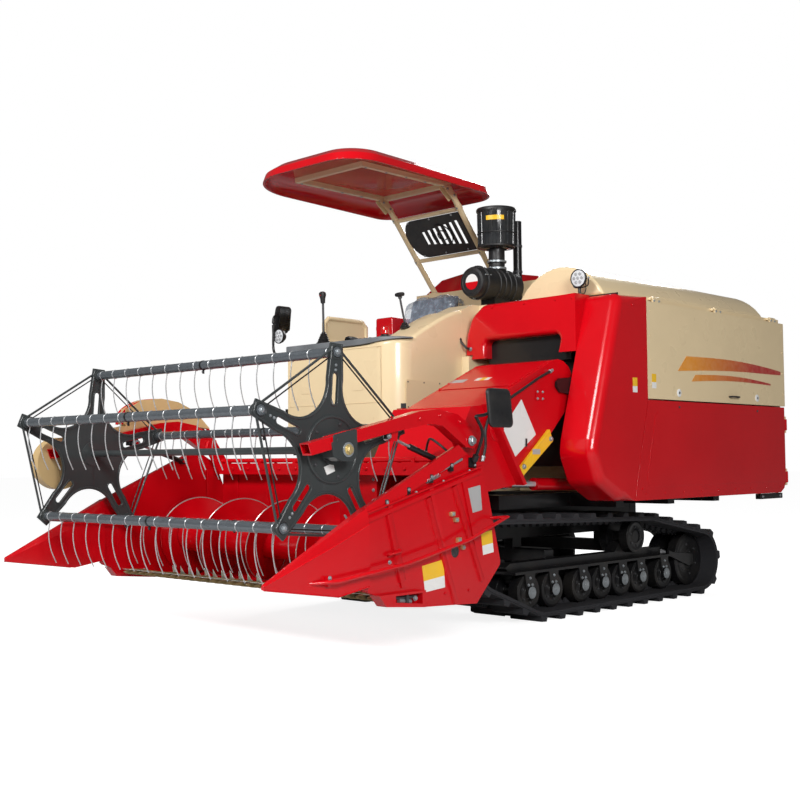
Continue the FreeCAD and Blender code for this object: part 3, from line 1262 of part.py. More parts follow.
def make_arms():
    """Reel arms with the hangers that hold the reel's shaft, and their cylinder pins."""
    y0, y1 = ARM_Y
    arm = side_prism(ARM, y0, y1)
    arm = arm.cut(side_prism([(2210, 1021), (2040, 1057), (2033, 1015), (2190, 981)], y0 + 5, y1 - 5))
    plates = [side_prism(HANGER_PLATE, y0, y0 + HANGER), side_prism(HANGER_PLATE, y1 - 1, y1 + HANGER)]
    rx, rz = REEL
    arm = fuse([arm, cyl((rx, y0, rz), (rx, y1, rz), SHAFT_R + 14)] + plates)
    for (x, z), r in ((ARM_PIVOT, ARM_PIN_R), (REEL, SHAFT_R)):
        arm = arm.cut(cyl((x, y0 - 1, z), (x, y1 + HANGER + 1, z), r + RUNNING))
    ex, ez = REEL_CYL_EYE
    ear = side_prism([(ex - 24, ez - 22), (ex + 24, ez - 22), (ex + 34, 1110), (ex - 34, 1110)],
                     REEL_CYL_Y + 22, REEL_CYL_Y + 34)
    pin = cyl((ex, REEL_CYL_Y + 24, ez), (ex, REEL_CYL_Y - 20, ez), REEL_PIN_R)
    return both(fuse([arm, ear, pin]))


def make_drive_cover():
    """Tan drive guard and red belt cover on the right arm's outer face."""
    y1 = -ARM_Y[1]
    y0 = y1 - DRIVE_DEPTH
    cx, cz = 2110.0, 945.0
    disc = cyl((cx, y0, cz), (cx, y1, cz), 150)
    tail = side_prism([(cx, cz + 140), (1600, 1185), (1360, 1180), (1366, 1112), (1560, 1106),
                       (1690, 1122), (2020, 960)], y0 + 18, y1)
    hood = side_prism([(1045, 1160), (1162, 1271), (1290, 1325), (1419, 1344), (1560, 1330), (1674, 1272),
                       (1700, 1190), (1640, 1150), (1400, 1165), (1200, 1175)], y0 + 10, y1)
    whole = fuse([disc, tail, hood])
    for x, z, r in ((*REEL, SHAFT_R + 14), (*ARM_PIVOT, ARM_PIN_R + 15)):
        whole = whole.cut(cyl((x, y1 - HANGER - 9, z), (x, y1 + 1, z), r))
    return whole.cut(side_prism(HANGER_PLATE, y1 - HANGER, y1 + 1))


nodes["reel_frame"] = make_reel()
for index in range(5):
    nodes["tine_bar_%d" % (index + 1)] = make_tine_bar(index)
nodes["reel_arms"] = make_arms()
nodes["reel_drive_cover"] = make_drive_cover()


# ---- cylinders ----------------------------------------------------------------------------------

def cylinder_pair(base, eye, y, radius, rod_r, pin_r, barrel_share, drift):
    """Barrel and rod of a hydraulic cylinder in the plane at y, its eye's bore wide by drift."""
    (bx, bz), (ex, ez) = base, eye
    size = hypot(ex - bx, ez - bz)
    ux, uz = (ex - bx) / size, (ez - bz) / size
    half, ring = 16.0, pin_r + 10
    reach = max(half, rod_r) + 1
    start, cap = size * 0.2, size * barrel_share

    def on_axis(s):
        return bx + ux * s, y, bz + uz * s
    neck = ring + (18 if radius > 20 else 4)
    barrel = fuse([cyl(on_axis(neck), on_axis(cap), radius),
                   cyl((bx, y - half, bz), (bx, y + half, bz), ring),
                   cyl(on_axis(ring / 2), on_axis(neck + 4), min(rod_r, half - 2))])
    barrel = barrel.cut(cyl((bx, y - reach, bz), (bx, y + reach, bz), pin_r + RUNNING))
    barrel = barrel.cut(cyl(on_axis(start), on_axis(cap + 1), rod_r + RUNNING))
    tail = start + (LIFT_TAIL if radius > 20 else REEL_TAIL)
    stem = fuse([cyl(on_axis(tail), on_axis(size - ring / 2), rod_r),
                 cyl((ex, y - half, ez), (ex, y + half, ez), ring + drift)])
    stem = stem.cut(cyl((ex, y - reach, ez), (ex, y + reach, ez), pin_r + drift))
    return barrel, stem


barrel, stem = cylinder_pair(LIFT_CYL_BASE, LIFT_CYL_EYE, LIFT_CYL_Y, 38.0, 20.0, 14.0, 0.66, LIFT_DRIFT)
nodes["lift_barrel"], nodes["lift_rod"] = barrel, stem
barrel, stem = cylinder_pair(REEL_CYL_BASE, REEL_CYL_EYE, REEL_CYL_Y, 15.0, 8.0, REEL_PIN_R, 0.58,
                             REEL_DRIFT)
nodes["reel_barrels"], nodes["reel_rods"] = both(barrel), both(stem)

for name, shape in nodes.items():
    shape.exportStep("parts/%s.step" % name)
    print(name, len(shape.Solids), round(shape.Volume / 1e9, 4), shape.isValid())
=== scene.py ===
"""Looks of the rubber-tracked combine harvester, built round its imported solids.

Every class below is one sub-assembly: its sizes are dataclass fields in metres, and its methods
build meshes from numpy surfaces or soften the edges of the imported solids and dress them.
"""

import json
import logging
from dataclasses import dataclass
from enum import Enum
from math import atan2, cos, pi, radians, sin

import bmesh
import bpy
import numpy as np
from mathutils import Matrix, Vector


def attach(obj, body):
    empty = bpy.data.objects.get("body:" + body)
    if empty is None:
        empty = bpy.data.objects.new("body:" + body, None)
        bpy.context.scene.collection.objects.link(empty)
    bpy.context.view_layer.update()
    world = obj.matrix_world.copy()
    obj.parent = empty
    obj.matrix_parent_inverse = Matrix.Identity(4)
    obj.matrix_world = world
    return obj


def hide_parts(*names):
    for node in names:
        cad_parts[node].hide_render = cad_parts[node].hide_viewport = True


LOG = logging.getLogger("combine")
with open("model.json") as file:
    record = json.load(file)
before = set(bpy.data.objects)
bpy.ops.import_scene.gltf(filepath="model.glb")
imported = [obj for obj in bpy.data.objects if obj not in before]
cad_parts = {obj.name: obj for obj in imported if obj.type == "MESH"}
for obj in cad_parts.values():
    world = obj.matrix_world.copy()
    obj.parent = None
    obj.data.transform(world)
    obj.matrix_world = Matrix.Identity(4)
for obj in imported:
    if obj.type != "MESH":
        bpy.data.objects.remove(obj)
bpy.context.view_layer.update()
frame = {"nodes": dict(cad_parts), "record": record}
Array = np.ndarray
Socket = bpy.types.NodeSocket
Colour = Point = tuple[float, float, float]
Rows = tuple[tuple[float, ...], ...]
Inputs = dict[str | int, object]
Material = bpy.types.Material
AHEAD, BACK, LEFT, RIGHT, UP, DOWN = (1, 0, 0), (-1, 0, 0), (0, 1, 0), (0, -1, 0), (0, 0, 1), (0, 0, -1)
SIDES = (-1, 1)


# ---- finishes -----------------------------------------------------------------------------------

class Graph:
    """A material's node tree with short calls for adding and feeding nodes."""

    def __init__(self, name: str) -> None:
        """Start a material that holds one Principled shader.

        Args:
            name: the material's name.
        """
        self.material = bpy.data.materials.new(name)
        self.material.use_nodes = True
        self.tree = self.material.node_tree
        self.shader = self.tree.nodes["Principled BSDF"]
        self.place = self.node("TexCoord", {}).outputs["Object"]

    def feed(self, node: bpy.types.Node, inputs: Inputs) -> None:
        """Set a node's inputs to numbers or colours, or link them to other nodes' outputs.

        Args:
            node: the node.
            inputs: value or output by the input's name or number.
        """
        for key, value in inputs.items():
            socket = node.inputs[key]
            if isinstance(value, Socket):
                self.tree.links.new(value, socket)
            else:
                socket.default_value = (*value, 1.0) if socket.type == "RGBA" else value

    def node(self, kind: str, inputs: Inputs, **settings: object) -> bpy.types.Node:
        """Add a node.

        Args:
            kind: its type's name without ShaderNode.
            inputs: what its inputs are fed.
            settings: its plain properties.

        Returns:
            The node.
        """
        made = self.tree.nodes.new("ShaderNode" + kind)
        for key, value in settings.items():
            setattr(made, key, value)
        self.feed(made, inputs)
        return made

    def noise(self, scale: float, detail: float = 3.0, stretch: Colour = (1.0, 1.0, 1.0),
              shift: float = 0.0) -> Socket:
        """Fractal noise on object coordinates.

        Args:
            scale: grains per metre.
            detail: octaves.
            stretch: factor on each axis, for streaks and brushing.
            shift: offset, so that two noises differ.

        Returns:
            The factor socket, about 0.3 to 0.7.
        """
        mapping = self.node("Mapping", {"Scale": stretch, "Location": (shift, shift * 0.7, -shift),
                                        "Vector": self.place})
        vector = mapping.outputs["Vector"]
        return self.node("TexNoise", {"Scale": scale, "Detail": detail, "Vector": vector}).outputs["Fac"]

    def ramp(self, source: Socket, low: float, high: float, start: float = 0.0, end: float = 1.0) -> Socket:
        """Map source from low..high to start..end, clamped."""
        limits = {"From Min": low, "From Max": high, "To Min": start, "To Max": end}
        return self.node("MapRange", {"Value": source, **limits}).outputs["Result"]

    def times(self, a: Socket, b: Socket | float) -> Socket:
        """Product of a socket and another socket or number."""
        return self.node("Math", {0: a, 1: b}, operation="MULTIPLY").outputs[0]

    def mix(self, factor: Socket, a: Socket | Colour, b: Socket | Colour) -> Socket:
        """Colour between a and b."""
        return self.node("Mix", {"Factor": factor, 6: a, 7: b}, data_type="RGBA").outputs[2]

    def along(self, axis: str) -> Socket:
        """One object coordinate, in metres."""
        return self.node("SeparateXYZ", {0: self.place}).outputs[axis]

    def cells(self, scale: float) -> bpy.types.Node:
        """Cell pattern, scale cells per metre."""
        return self.node("TexVoronoi", {"Scale": scale, "Vector": self.place})

    def bump(self, source: Socket, distance: float, strength: float) -> None:
        """Relief from a height socket, distance in metres, over any relief there already."""
        below = [link.from_socket for link in self.shader.inputs["Normal"].links]
        made = self.node("Bump", {"Strength": strength, "Distance": distance, "Height": source})
        self.feed(made, {"Normal": socket for socket in below})
        self.feed(self.shader, {"Normal": made.outputs["Normal"]})

    def surface(self, inputs: Inputs) -> Material:
        """Feed the shader and return the material."""
        self.feed(self.shader, inputs)
        return self.material


@dataclass(frozen=True)
class Look:
    """What every finish has: the material's name, its colour and a slot name."""

    name: str
    colour: Colour
    slot: str

    def tint(self, by: float, lift: float = 0.0) -> Colour:
        """The colour times a factor plus a lift, no channel past 1."""
        return tuple(min(1.0, c * by + lift) for c in self.colour)


@dataclass(frozen=True)
class Paint(Look):
    """Gloss or satin enamel with orange peel, slight fading and a film of dust low down."""

    roughness: float = 0.26
    coat: float = 0.5
    gloss: float = 0.35
    fade: float = 0.1
    dust: float = 0.1
    dust_colour: Colour = (0.42, 0.36, 0.27)

    def build(self) -> Material:
        """Return the material."""
        g = Graph(self.name)
        tone = g.mix(g.ramp(g.noise(1.7, 4.0), 0.35, 0.65), self.tint(1 - self.fade), self.tint(1 + self.fade))
        low = g.ramp(g.along("Z"), 0.15, 1.0, 1.0, 0.15)
        film = g.times(g.times(g.ramp(g.noise(6.0, 3.0, shift=3.1), 0.42, 0.72), low), self.dust)
        rough = g.ramp(g.noise(5.0, 2.0, shift=1.3), 0.3, 0.7, self.roughness - 0.02, self.roughness + 0.04)
        g.bump(g.noise(2.2, 2.0, shift=5.0), 0.0016, 0.18)
        return g.surface({"Base Color": g.mix(film, tone, self.dust_colour), "Roughness": rough,
                          "Specular IOR Level": self.gloss, "Coat Weight": self.coat, "Coat Roughness": 0.07})


@dataclass(frozen=True)
class Metal(Look):
    """Bare or plated metal with brushed streaks and cloudy zinc spangle."""

    roughness: float = 0.34
    spangle: float = 0.1
    brush: Colour = (1.0, 6.0, 6.0)
    stain: float = 0.15

    def build(self) -> Material:
        """Return the material."""
        g = Graph(self.name)
        grain = g.node("SeparateColor", {0: g.cells(70.0).outputs["Color"]}).outputs[0]
        tone = g.mix(grain, self.tint(1 - self.spangle), self.tint(1 + self.spangle))
        stain = g.times(g.ramp(g.noise(14.0, 5.0, shift=2.0), 0.52, 0.75), self.stain)
        streak = g.noise(60.0, 4.0, self.brush)
        rough = g.ramp(streak, 0.3, 0.7, self.roughness - 0.08, self.roughness + 0.14)
        g.bump(streak, 0.0002, 0.3)
        return g.surface({"Base Color": g.mix(stain, tone, self.tint(0.55)), "Metallic": 0.6, "Roughness": rough})


@dataclass(frozen=True)
class Moulding(Look):
    """Plastic or rubber with a fine leathery grain and dust in its low places."""

    roughness: float = 0.55
    grain: float = 900.0
    relief: float = 0.0003
    dust: float = 0.05
    dust_colour: Colour = (0.22, 0.19, 0.15)
    specular: float = 0.5

    def build(self) -> Material:
        """Return the material."""
        g = Graph(self.name)
        tone = g.mix(g.ramp(g.noise(6.0, 4.0), 0.35, 0.65), self.colour, self.tint(1.35, 0.004))
        film = g.times(g.ramp(g.noise(18.0, 6.0, shift=4.0), 0.4, 0.75), self.dust)
        rough = g.ramp(g.noise(40.0, 4.0), 0.3, 0.7, self.roughness - 0.08, self.roughness + 0.1)
        g.bump(g.cells(self.grain).outputs["Distance"], self.relief, 0.5)
        return g.surface({"Base Color": g.mix(film, tone, self.dust_colour), "Roughness": rough,
                          "Specular IOR Level": self.specular})


@dataclass(frozen=True)
class Glass(Look):
    """Lens or mirror glass."""

    mirror: bool = False

    def build(self) -> Material:
        """Return the material."""
        g = Graph(self.name)
        smear = g.noise(16.0, 4.0)
        return g.surface({"Base Color": g.mix(smear, self.colour, self.tint(0.9)),
                          "Roughness": g.ramp(smear, 0.3, 0.7, 0.03, 0.1),
                          "Metallic": float(self.mirror), "Coat Weight": float(not self.mirror)})


@dataclass(frozen=True)
class Film(Look):
    """Thin wrinkled wrapping film, half see-through and glossy."""

    opacity: float = 0.45

    def build(self) -> Material:
        """Return the material."""
        g = Graph(self.name)
        crease = g.noise(26.0, 6.0)
        alpha = g.ramp(crease, 0.3, 0.7, self.opacity - 0.15, self.opacity + 0.25)
        g.bump(crease, 0.004, 0.8)
        g.bump(g.noise(90.0, 3.0), 0.0012, 0.6)
        return g.surface({"Base Color": g.mix(g.ramp(crease, 0.35, 0.65), self.colour, self.tint(1.7)),
                          "Roughness": 0.16, "Alpha": alpha})


@dataclass(frozen=True)
class Flash(Look):
    """Enamel band whose colour runs to another one along X."""

    far: Colour
    span: tuple[float, float]

    def build(self) -> Material:
        """Return the material."""
        g = Graph(self.name)
        tone = g.mix(g.ramp(g.along("X"), *self.span), self.colour, self.far)
        g.bump(g.noise(300.0, 2.0), 0.0001, 0.3)
        return g.surface({"Base Color": g.mix(g.ramp(g.noise(30.0), 0.3, 0.7, 0.0, 0.12), tone, (0.9, 0.7, 0.5)),
                          "Roughness": 0.3, "Coat Weight": 0.4})


class Finish(Enum):
    """The machine's finishes."""

    RED = Paint("red_enamel", (0.56, 0.001, 0.006), "red_paint", roughness=0.2, coat=0.35, fade=0.05, dust=0.008)
    CREAM = Paint("cream_enamel", (0.78, 0.62, 0.38), "cream_paint", roughness=0.28, coat=0.4, fade=0.025, dust=0.03)
    WHITE = Paint("white_plate", (0.8, 0.8, 0.78), "cream_paint", fade=0.03)
    GREY_PLATE = Paint("grey_plate", (0.4, 0.4, 0.4), "cream_paint", roughness=0.35, coat=0.1, fade=0.03)
    YELLOW = Paint("yellow_enamel", (0.85, 0.5, 0.02), "yellow_paint")
    BLACK = Paint("black_enamel", (0.008, 0.008, 0.009), "black_paint", roughness=0.34, coat=0.2, dust=0.03)
    CHARCOAL = Paint("charcoal_enamel", (0.036, 0.041, 0.042), "dark_steel", roughness=0.34, coat=0.25, dust=0.03)
    TAN = Paint("tan_enamel", (0.6, 0.42, 0.2), "tan_paint", roughness=0.4, coat=0.1)
    ZINC = Metal("galvanised_tube", (0.36, 0.39, 0.41), "galvanised")
    WIRE = Metal("spring_wire", (0.55, 0.56, 0.57), "galvanised", roughness=0.28, spangle=0.06)
    CHROME = Metal("ground_rod", (0.75, 0.76, 0.78), "galvanised", roughness=0.14, spangle=0.03)
    CAST = Metal("dark_casting", (0.085, 0.085, 0.09), "dark_steel", roughness=0.5, spangle=0.25)
    WORN = Metal("polished_edge", (0.5, 0.49, 0.47), "galvanised", roughness=0.3)
    TUBE = Metal("polished_tube", (0.17, 0.19, 0.21), "galvanised", 0.22, 0.04, brush=(1.0, 0.1, 1.0), stain=0.25)
    FORGED = Metal("forged_steel", (0.3, 0.22, 0.1), "dark_steel", roughness=0.36, spangle=0.22)
    BLADE = Metal("oiled_blade", (0.64, 0.72, 0.66), "galvanised", roughness=0.3)
    BRASS = Metal("passivated_zinc", (0.62, 0.5, 0.24), "galvanised", roughness=0.3, spangle=0.12)
    RUBBER = Moulding("track_rubber", (0.009, 0.01, 0.008), "track_rubber", roughness=0.6, grain=420.0, relief=0.0006)
    HOSE = Moulding("hose_rubber", (0.012, 0.012, 0.013), "black_plastic", roughness=0.5, grain=300.0)
    PLASTIC = Moulding("black_moulding", (0.008, 0.008, 0.009), "black_plastic", roughness=0.42)
    GREY = Moulding("grey_moulding", (0.13, 0.14, 0.15), "grey_plastic", roughness=0.45)
    VINYL = Moulding("seat_vinyl", (0.055, 0.065, 0.085), "seat_vinyl", roughness=0.48, grain=650.0)
    BOWL = Moulding("smoked_bowl", (0.016, 0.018, 0.02), "black_plastic", roughness=0.16, grain=60.0, relief=0.0001)
    LAMP_RED = Glass("red_lens", (0.6, 0.01, 0.01), "red_paint")
    LAMP_AMBER = Glass("amber_lens", (0.8, 0.28, 0.01), "yellow_paint")
    MIRROR = Glass("mirror_glass", (0.78, 0.8, 0.82), "black_plastic", mirror=True)
    LENS = Glass("lamp_lens", (0.72, 0.74, 0.76), "black_plastic")
    FILM = Film("wrapping_film", (0.2, 0.24, 0.29), "seat_vinyl")
    FLASH = Flash("flash_band", (0.8, 0.3, 0.02), "red_paint", (0.45, 0.01, 0.01), (-1.1, -2.0))

    def material(self) -> Material:
        """The finish's material, made once."""
        return bpy.data.materials.get(self.value.name) or self.value.build()


(RED, CREAM, WHITE, GREY_PLATE, YELLOW, BLACK, CHARCOAL, TAN, ZINC, WIRE, CHROME, CAST, WORN, TUBE, FORGED, BLADE,
 BRASS, RUBBER, HOSE, PLASTIC, GREY, VINYL, BOWL, LAMP_RED, LAMP_AMBER, MIRROR, LENS, FILM, FLASH) = Finish


# ---- shapes -------------------------------------------------------------------------------------

def mm(rows: list) -> Array:
    """A table written in millimetres, in metres."""
    return np.asarray(rows, float) / 1000


def unit(vectors: Array) -> Array:
    """Vectors scaled to length one along the last axis."""
    return vectors / np.maximum(np.linalg.norm(vectors, axis=-1, keepdims=True), 1e-12)


def spots(*axes: float | Array) -> Array:
    """Points at every combination of the x, y and z values, the last one changing first."""
    return np.stack(np.meshgrid(*axes, indexing="ij"), -1).reshape(-1, len(axes))


def length_along(path: Array) -> Array:
    """Distance from the path's start to each of its points."""
    return np.insert(np.cumsum(np.linalg.norm(np.diff(path, axis=0), axis=1)), 0, 0.0)


def rounded(corners: Array, radius: float | Array, steps: int = 5) -> Array:
    """Closed polygon with each corner replaced by an arc.

    Each arc is the turn from the tangent point on one side to that on the next about the
    corner's inner centre, worked out for all corners at once.

    Args:
        corners: (n, 2) corner points in order.
        radius: one radius or one per corner.
        steps: arc pieces per corner.

    Returns:
        (n * (steps + 1), 2) outline.
    """
    corners = np.asarray(corners, float)
    before, after = np.roll(corners, 1, 0) - corners, np.roll(corners, -1, 0) - corners
    a, b = unit(before), unit(after)
    half = np.arccos(np.clip((a * b).sum(1), -0.99999, 0.99999)) / 2
    room = 0.48 * np.minimum(np.linalg.norm(before, axis=1), np.linalg.norm(after, axis=1))
    reach = np.minimum(np.broadcast_to(radius, len(corners)) / np.tan(half), room)
    centre = corners + unit(a + b) * (reach / np.cos(half))[:, None]
    start, end = corners + a * reach[:, None] - centre, corners + b * reach[:, None] - centre
    turn = (pi - 2 * half)[:, None, None]
    s = np.linspace(0, 1, steps + 1)[None, :, None]
    arc = (np.sin((1 - s) * turn) * start[:, None] + np.sin(s * turn) * end[:, None]) / np.sin(turn)
    return (centre[:, None] + arc).reshape(-1, 2)


def smooth_path(points: Array, steps: int = 8) -> Array:
    """Catmull-Rom curve through points, worked out for all spans at once.

    Args:
        points: (n, 2) or (n, 3) points.
        steps: pieces per span.

    Returns:
        The curve's points.
    """
    p = np.asarray(points, float)
    p = np.vstack([2 * p[0] - p[1], p, 2 * p[-1] - p[-2]])
    a, b, c, d = p[:-3, None], p[1:-2, None], p[2:-1, None], p[3:, None]
    t = np.linspace(0, 1, steps, endpoint=False)[None, :, None]
    curve = 0.5 * (2 * b + (c - a) * t + (2 * a - 5 * b + 4 * c - d) * t ** 2 + (3 * b - a - 3 * c + d) * t ** 3)
    return np.vstack([curve.reshape(-1, p.shape[1]), p[-2][None]])


def handed_area(outline: Array) -> float:
    """Twice the area inside an outline, negative where it runs clockwise."""
    return (outline[:, 0] * np.roll(outline[:, 1], -1) - outline[:, 1] * np.roll(outline[:, 0], -1)).sum()


def frame_of(ahead: Array, hint: Array) -> tuple[Array, Array]:
    """Two directions square to ahead and to each other, the first also square to the hint."""
    side = unit(np.cross(ahead, hint))
    return side, np.cross(side, ahead)


def circle(sides: int) -> Array:
    """(sides, 1) angles round a full turn."""
    return np.linspace(0, 2 * pi, sides, endpoint=False)[:, None]


class Shape:
    """Surfaces gathered into one mesh, each with its own finish."""

    def __init__(self) -> None:
        """Start with no surface."""
        self.points: list[Array] = []
        self.faces: list[list[int]] = []
        self.marks: list[int] = []
        self.finishes: list[Finish] = []
        self.size = 0

    def add(self, points: Array, faces: list[list[int]], finish: Finish) -> "Shape":
        """Add points and faces that index into them.

        Args:
            points: the points.
            faces: corners of each face.
            finish: their finish.

        Returns:
            This shape.
        """
        if finish not in self.finishes:
            self.finishes.append(finish)
        self.points.append(points.reshape(-1, 3))
        self.faces += [[i + self.size for i in face] for face in faces]
        self.marks += [self.finishes.index(finish)] * len(faces)
        self.size += len(self.points[-1])
        return self

    def sheet(self, points: Array, finish: Finish, around: bool = False, closed: bool = False,
              caps: bool = False) -> "Shape":
        """Quads over a (rows, columns, 3) grid, turned to look outward where they close.

        Args:
            points: the grid.
            finish: its finish.
            around: join the last column to the first.
            closed: join the last row to the first.
            caps: close the first and last row with one face each.

        Returns:
            This shape.
        """
        points = np.asarray(points, float)
        rows, columns = points.shape[:2]
        index = np.arange(rows * columns).reshape(rows, columns)
        if around:
            index = np.hstack([index, index[:, :1]])
        if closed:
            index = np.vstack([index, index[:1]])
        quads = np.stack([index[:-1, :-1], index[:-1, 1:], index[1:, 1:], index[1:, :-1]], -1).reshape(-1, 4)
        flip = around and (caps or closed) and self.inside_out(points, quads, caps)
        faces = (quads[:, ::-1] if flip else quads).tolist()
        if caps:
            ends = [list(range(columns))[::-1], list(range((rows - 1) * columns, rows * columns))]
            faces += [end[::-1] for end in ends] if flip else ends
        return self.add(points, faces, finish)

    @staticmethod
    def inside_out(points: Array, quads: Array, caps: bool) -> bool:
        """Whether a closed grid's faces look inward: a sixth of the sum of a x b . c is its volume.

        Args:
            points: the grid.
            quads: its faces.
            caps: whether its ends are closed.

        Returns:
            True where the volume comes out negative.
        """
        flat = points.reshape(-1, 3) - points.reshape(-1, 3).mean(0)
        a, b, c, d = (flat[quads[:, i]] for i in range(4))
        volume = (np.cross(a, b) * c).sum() + (np.cross(a, c) * d).sum()
        if caps:
            rows = flat.reshape(points.shape)
            for ring, sign in ((rows[0], -1.0), (rows[-1], 1.0)):
                volume += sign * (np.cross(ring[:1], ring[1:-1]) * ring[2:]).sum()
        return bool(volume < 0)

    def tube(self, path: Array, radius: float | Array, finish: Finish, sides: int = 12, up: Point = UP,
             closed: bool = False) -> "Shape":
        """Round bar along a path: a circle set square to the path's direction at each point.

        Args:
            path: (n, 3) points.
            radius: one radius or one per point.
            finish: its finish.
            sides: sides of the circle.
            up: direction that the path doesn't take.
            closed: join its end to its start.

        Returns:
            This shape.
        """
        path = np.asarray(path, float)
        ahead = unit(np.roll(path, -1, 0) - np.roll(path, 1, 0) if closed else np.gradient(path, axis=0))
        side, top = frame_of(ahead, np.broadcast_to(up, ahead.shape) + 1e-6)
        t, reach = circle(sides), np.broadcast_to(radius, len(path))[:, None, None]
        grid = path[:, None] + reach * (np.cos(t) * side[:, None] + np.sin(t) * top[:, None])
        return self.sheet(grid, finish, around=True, closed=closed, caps=not closed)

    def hoop(self, path: Array, radius: float, finish: Finish, sides: int = 8, up: Point = LEFT) -> "Shape":
        """Closed bar in a plane square to up."""
        return self.tube(path, radius, finish, sides, up, closed=True)

    def bend(self, points: Array, steps: int, radius: float, finish: Finish, sides: int = 10) -> "Shape":
        """Bar along a smooth curve through points."""
        return self.tube(smooth_path(points, steps), radius, finish, sides)

    def lathe(self, profile: Array, base: Point, axis: Point, finish: Finish, sides: int = 32,
              caps: bool = True) -> "Shape":
        """Surface of revolution: (distance along the axis, radius) turned about it.

        Args:
            profile: (n, 2) distances and radii.
            base: where the distance is nought.
            axis: direction of the axis.
            finish: its finish.
            sides: sides of the circle.
            caps: close both ends.

        Returns:
            This shape.
        """
        profile = np.asarray(profile, float)
        ahead = unit(np.asarray(axis, float))
        side, t = unit(np.cross(ahead, (0.31, 0.17, 0.93))), circle(sides)
        ring = np.cos(t) * side + np.sin(t) * np.cross(ahead, side)
        grid = np.asarray(base) + profile[:, :1, None] * ahead + profile[:, 1:, None] * ring
        return self.sheet(grid, finish, around=True, caps=caps)

    def collar(self, base: Point, axis: Point, ends: tuple[float, float], radii: tuple[float, float], finish: Finish,
               sides: int) -> "Shape":
        """Plain ring between two distances and two radii, the inner one first."""
        (low, high), (inner, outer) = ends, radii
        return self.lathe([(low, inner), (low, outer), (high, outer), (high, inner)], base, axis, finish, sides)

    def slab(self, outline: Array, low: float, high: float, across: str, finish: Finish) -> "Shape":
        """Flat plate: an outline carried from low to high along one axis.

        Args:
            outline: (n, 2) points in the two other axes, in X, Y, Z order.
            low: where it starts.
            high: where it ends, on either side of low.
            across: the axis it is carried along, x, y or z.
            finish: its finish.

        Returns:
            This shape.
        """
        outline = np.asarray(outline, float)
        if (handed_area(outline) > 0) == (across == "y"):
            outline = outline[::-1]
        ends = np.array(sorted((low, high)))[:, None]
        grid = np.insert(np.stack([outline, outline]), "xyz".index(across), ends, axis=2)
        return self.sheet(grid, finish, around=True, caps=True)

    def rim_shell(self, outline: Array, weight: Array, across: str, span: tuple[float, float], radius: float,
                  finish: Finish) -> "Shape":
        """Closed shell whose front edge is rolled over.

        Ring by ring, the outline moves in by radius * (1 - cos t) times its weight while it goes
        forward by radius * sin t.

        Args:
            outline: (n, 2) points in the two other axes.
            weight: how much of the roll each point takes, 0 to 1.
            across: the axis it is carried along.
            span: where it starts and ends on that axis.
            radius: radius of the rolled edge.
            finish: its finish.

        Returns:
            This shape.
        """
        ahead = unit(np.roll(outline, -1, 0) - np.roll(outline, 1, 0))
        inward = np.column_stack([-ahead[:, 1], ahead[:, 0]]) * np.sign(handed_area(outline)) * weight[:, None]
        t = np.linspace(0, pi / 2, 9)
        inset = np.concatenate([[0.0], radius * (1 - np.cos(t)), [radius + 0.003]])
        place = np.concatenate([[span[0]], span[1] - radius * (1 - np.sin(t)), [span[1]]])
        flat = outline[None] + inward[None] * inset[:, None, None]
        return self.sheet(np.insert(flat, "xyz".index(across), place[:, None], axis=2), finish, around=True,
                          caps=True)

    def ribbon(self, outer: Array, inner: Array, low: Array, high: Array, radius: float, finish: Finish) -> "Shape":
        """Wall along a plan path: from the outer line over a rolled top edge to the inner line.

        Args:
            outer: (n, 2) plan points of its outer face.
            inner: (n, 2) plan points of its inner face.
            low: (n,) heights of its foot.
            high: (n,) heights of its top.
            radius: radius of the rolled edge.
            finish: its finish.

        Returns:
            This shape.
        """
        into = unit(inner - outer)
        roll = [(outer + into * radius * (1 - np.cos(a)), high - radius * (1 - np.sin(a)))
                for a in np.linspace(0, pi / 2, 6)]
        rows = [np.column_stack(pair) for pair in ((outer, low), *roll, (inner, high), (inner, low))]
        return self.sheet(np.stack(rows, 1), finish, around=True, caps=True)

    def block(self, low: Point, high: Point, finish: Finish, round_by: float = 0.0) -> "Shape":
        """Plate between two corners of space, its four short edges rounded.

        Args:
            low: one corner.
            high: the opposite corner.
            finish: its finish.
            round_by: radius of the rounding.

        Returns:
            This shape.
        """
        lows, highs = np.minimum(low, high), np.maximum(low, high)
        k = int(np.argmin(highs - lows))
        (a, b), (c, d) = np.delete(lows, k), np.delete(highs, k)
        corners = np.array([[a, b], [c, b], [c, d], [a, d]])
        outline = rounded(corners, round_by, 4) if round_by else corners
        return self.slab(outline, lows[k], highs[k], "xyz"[k], finish)

    def blocks(self, places: Array, low: Point, high: Point, finish: Finish, round_by: float = 0.0) -> "Shape":
        """A plate at every place, from one offset to the other."""
        for at in np.asarray(places, float):
            self.block(at + low, at + high, finish, round_by)
        return self

    def bolt(self, at: Point, axis: Point, radius: float, finish: Finish = ZINC) -> "Shape":
        """Hexagon head on a washer, standing along axis from at."""
        r = radius
        self.lathe([(0, r * 1.35), (r * 0.25, r * 1.3)], at, axis, finish, 16)
        return self.lathe([(r * 0.2, r), (r * 0.85, r), (r, r * 0.8)], at, axis, finish, 6)

    def bolts(self, places: Array, axis: Point, radius: float, finish: Finish = ZINC) -> "Shape":
        """A bolt at every place."""
        for at in places:
            self.bolt(at, axis, radius, finish)
        return self

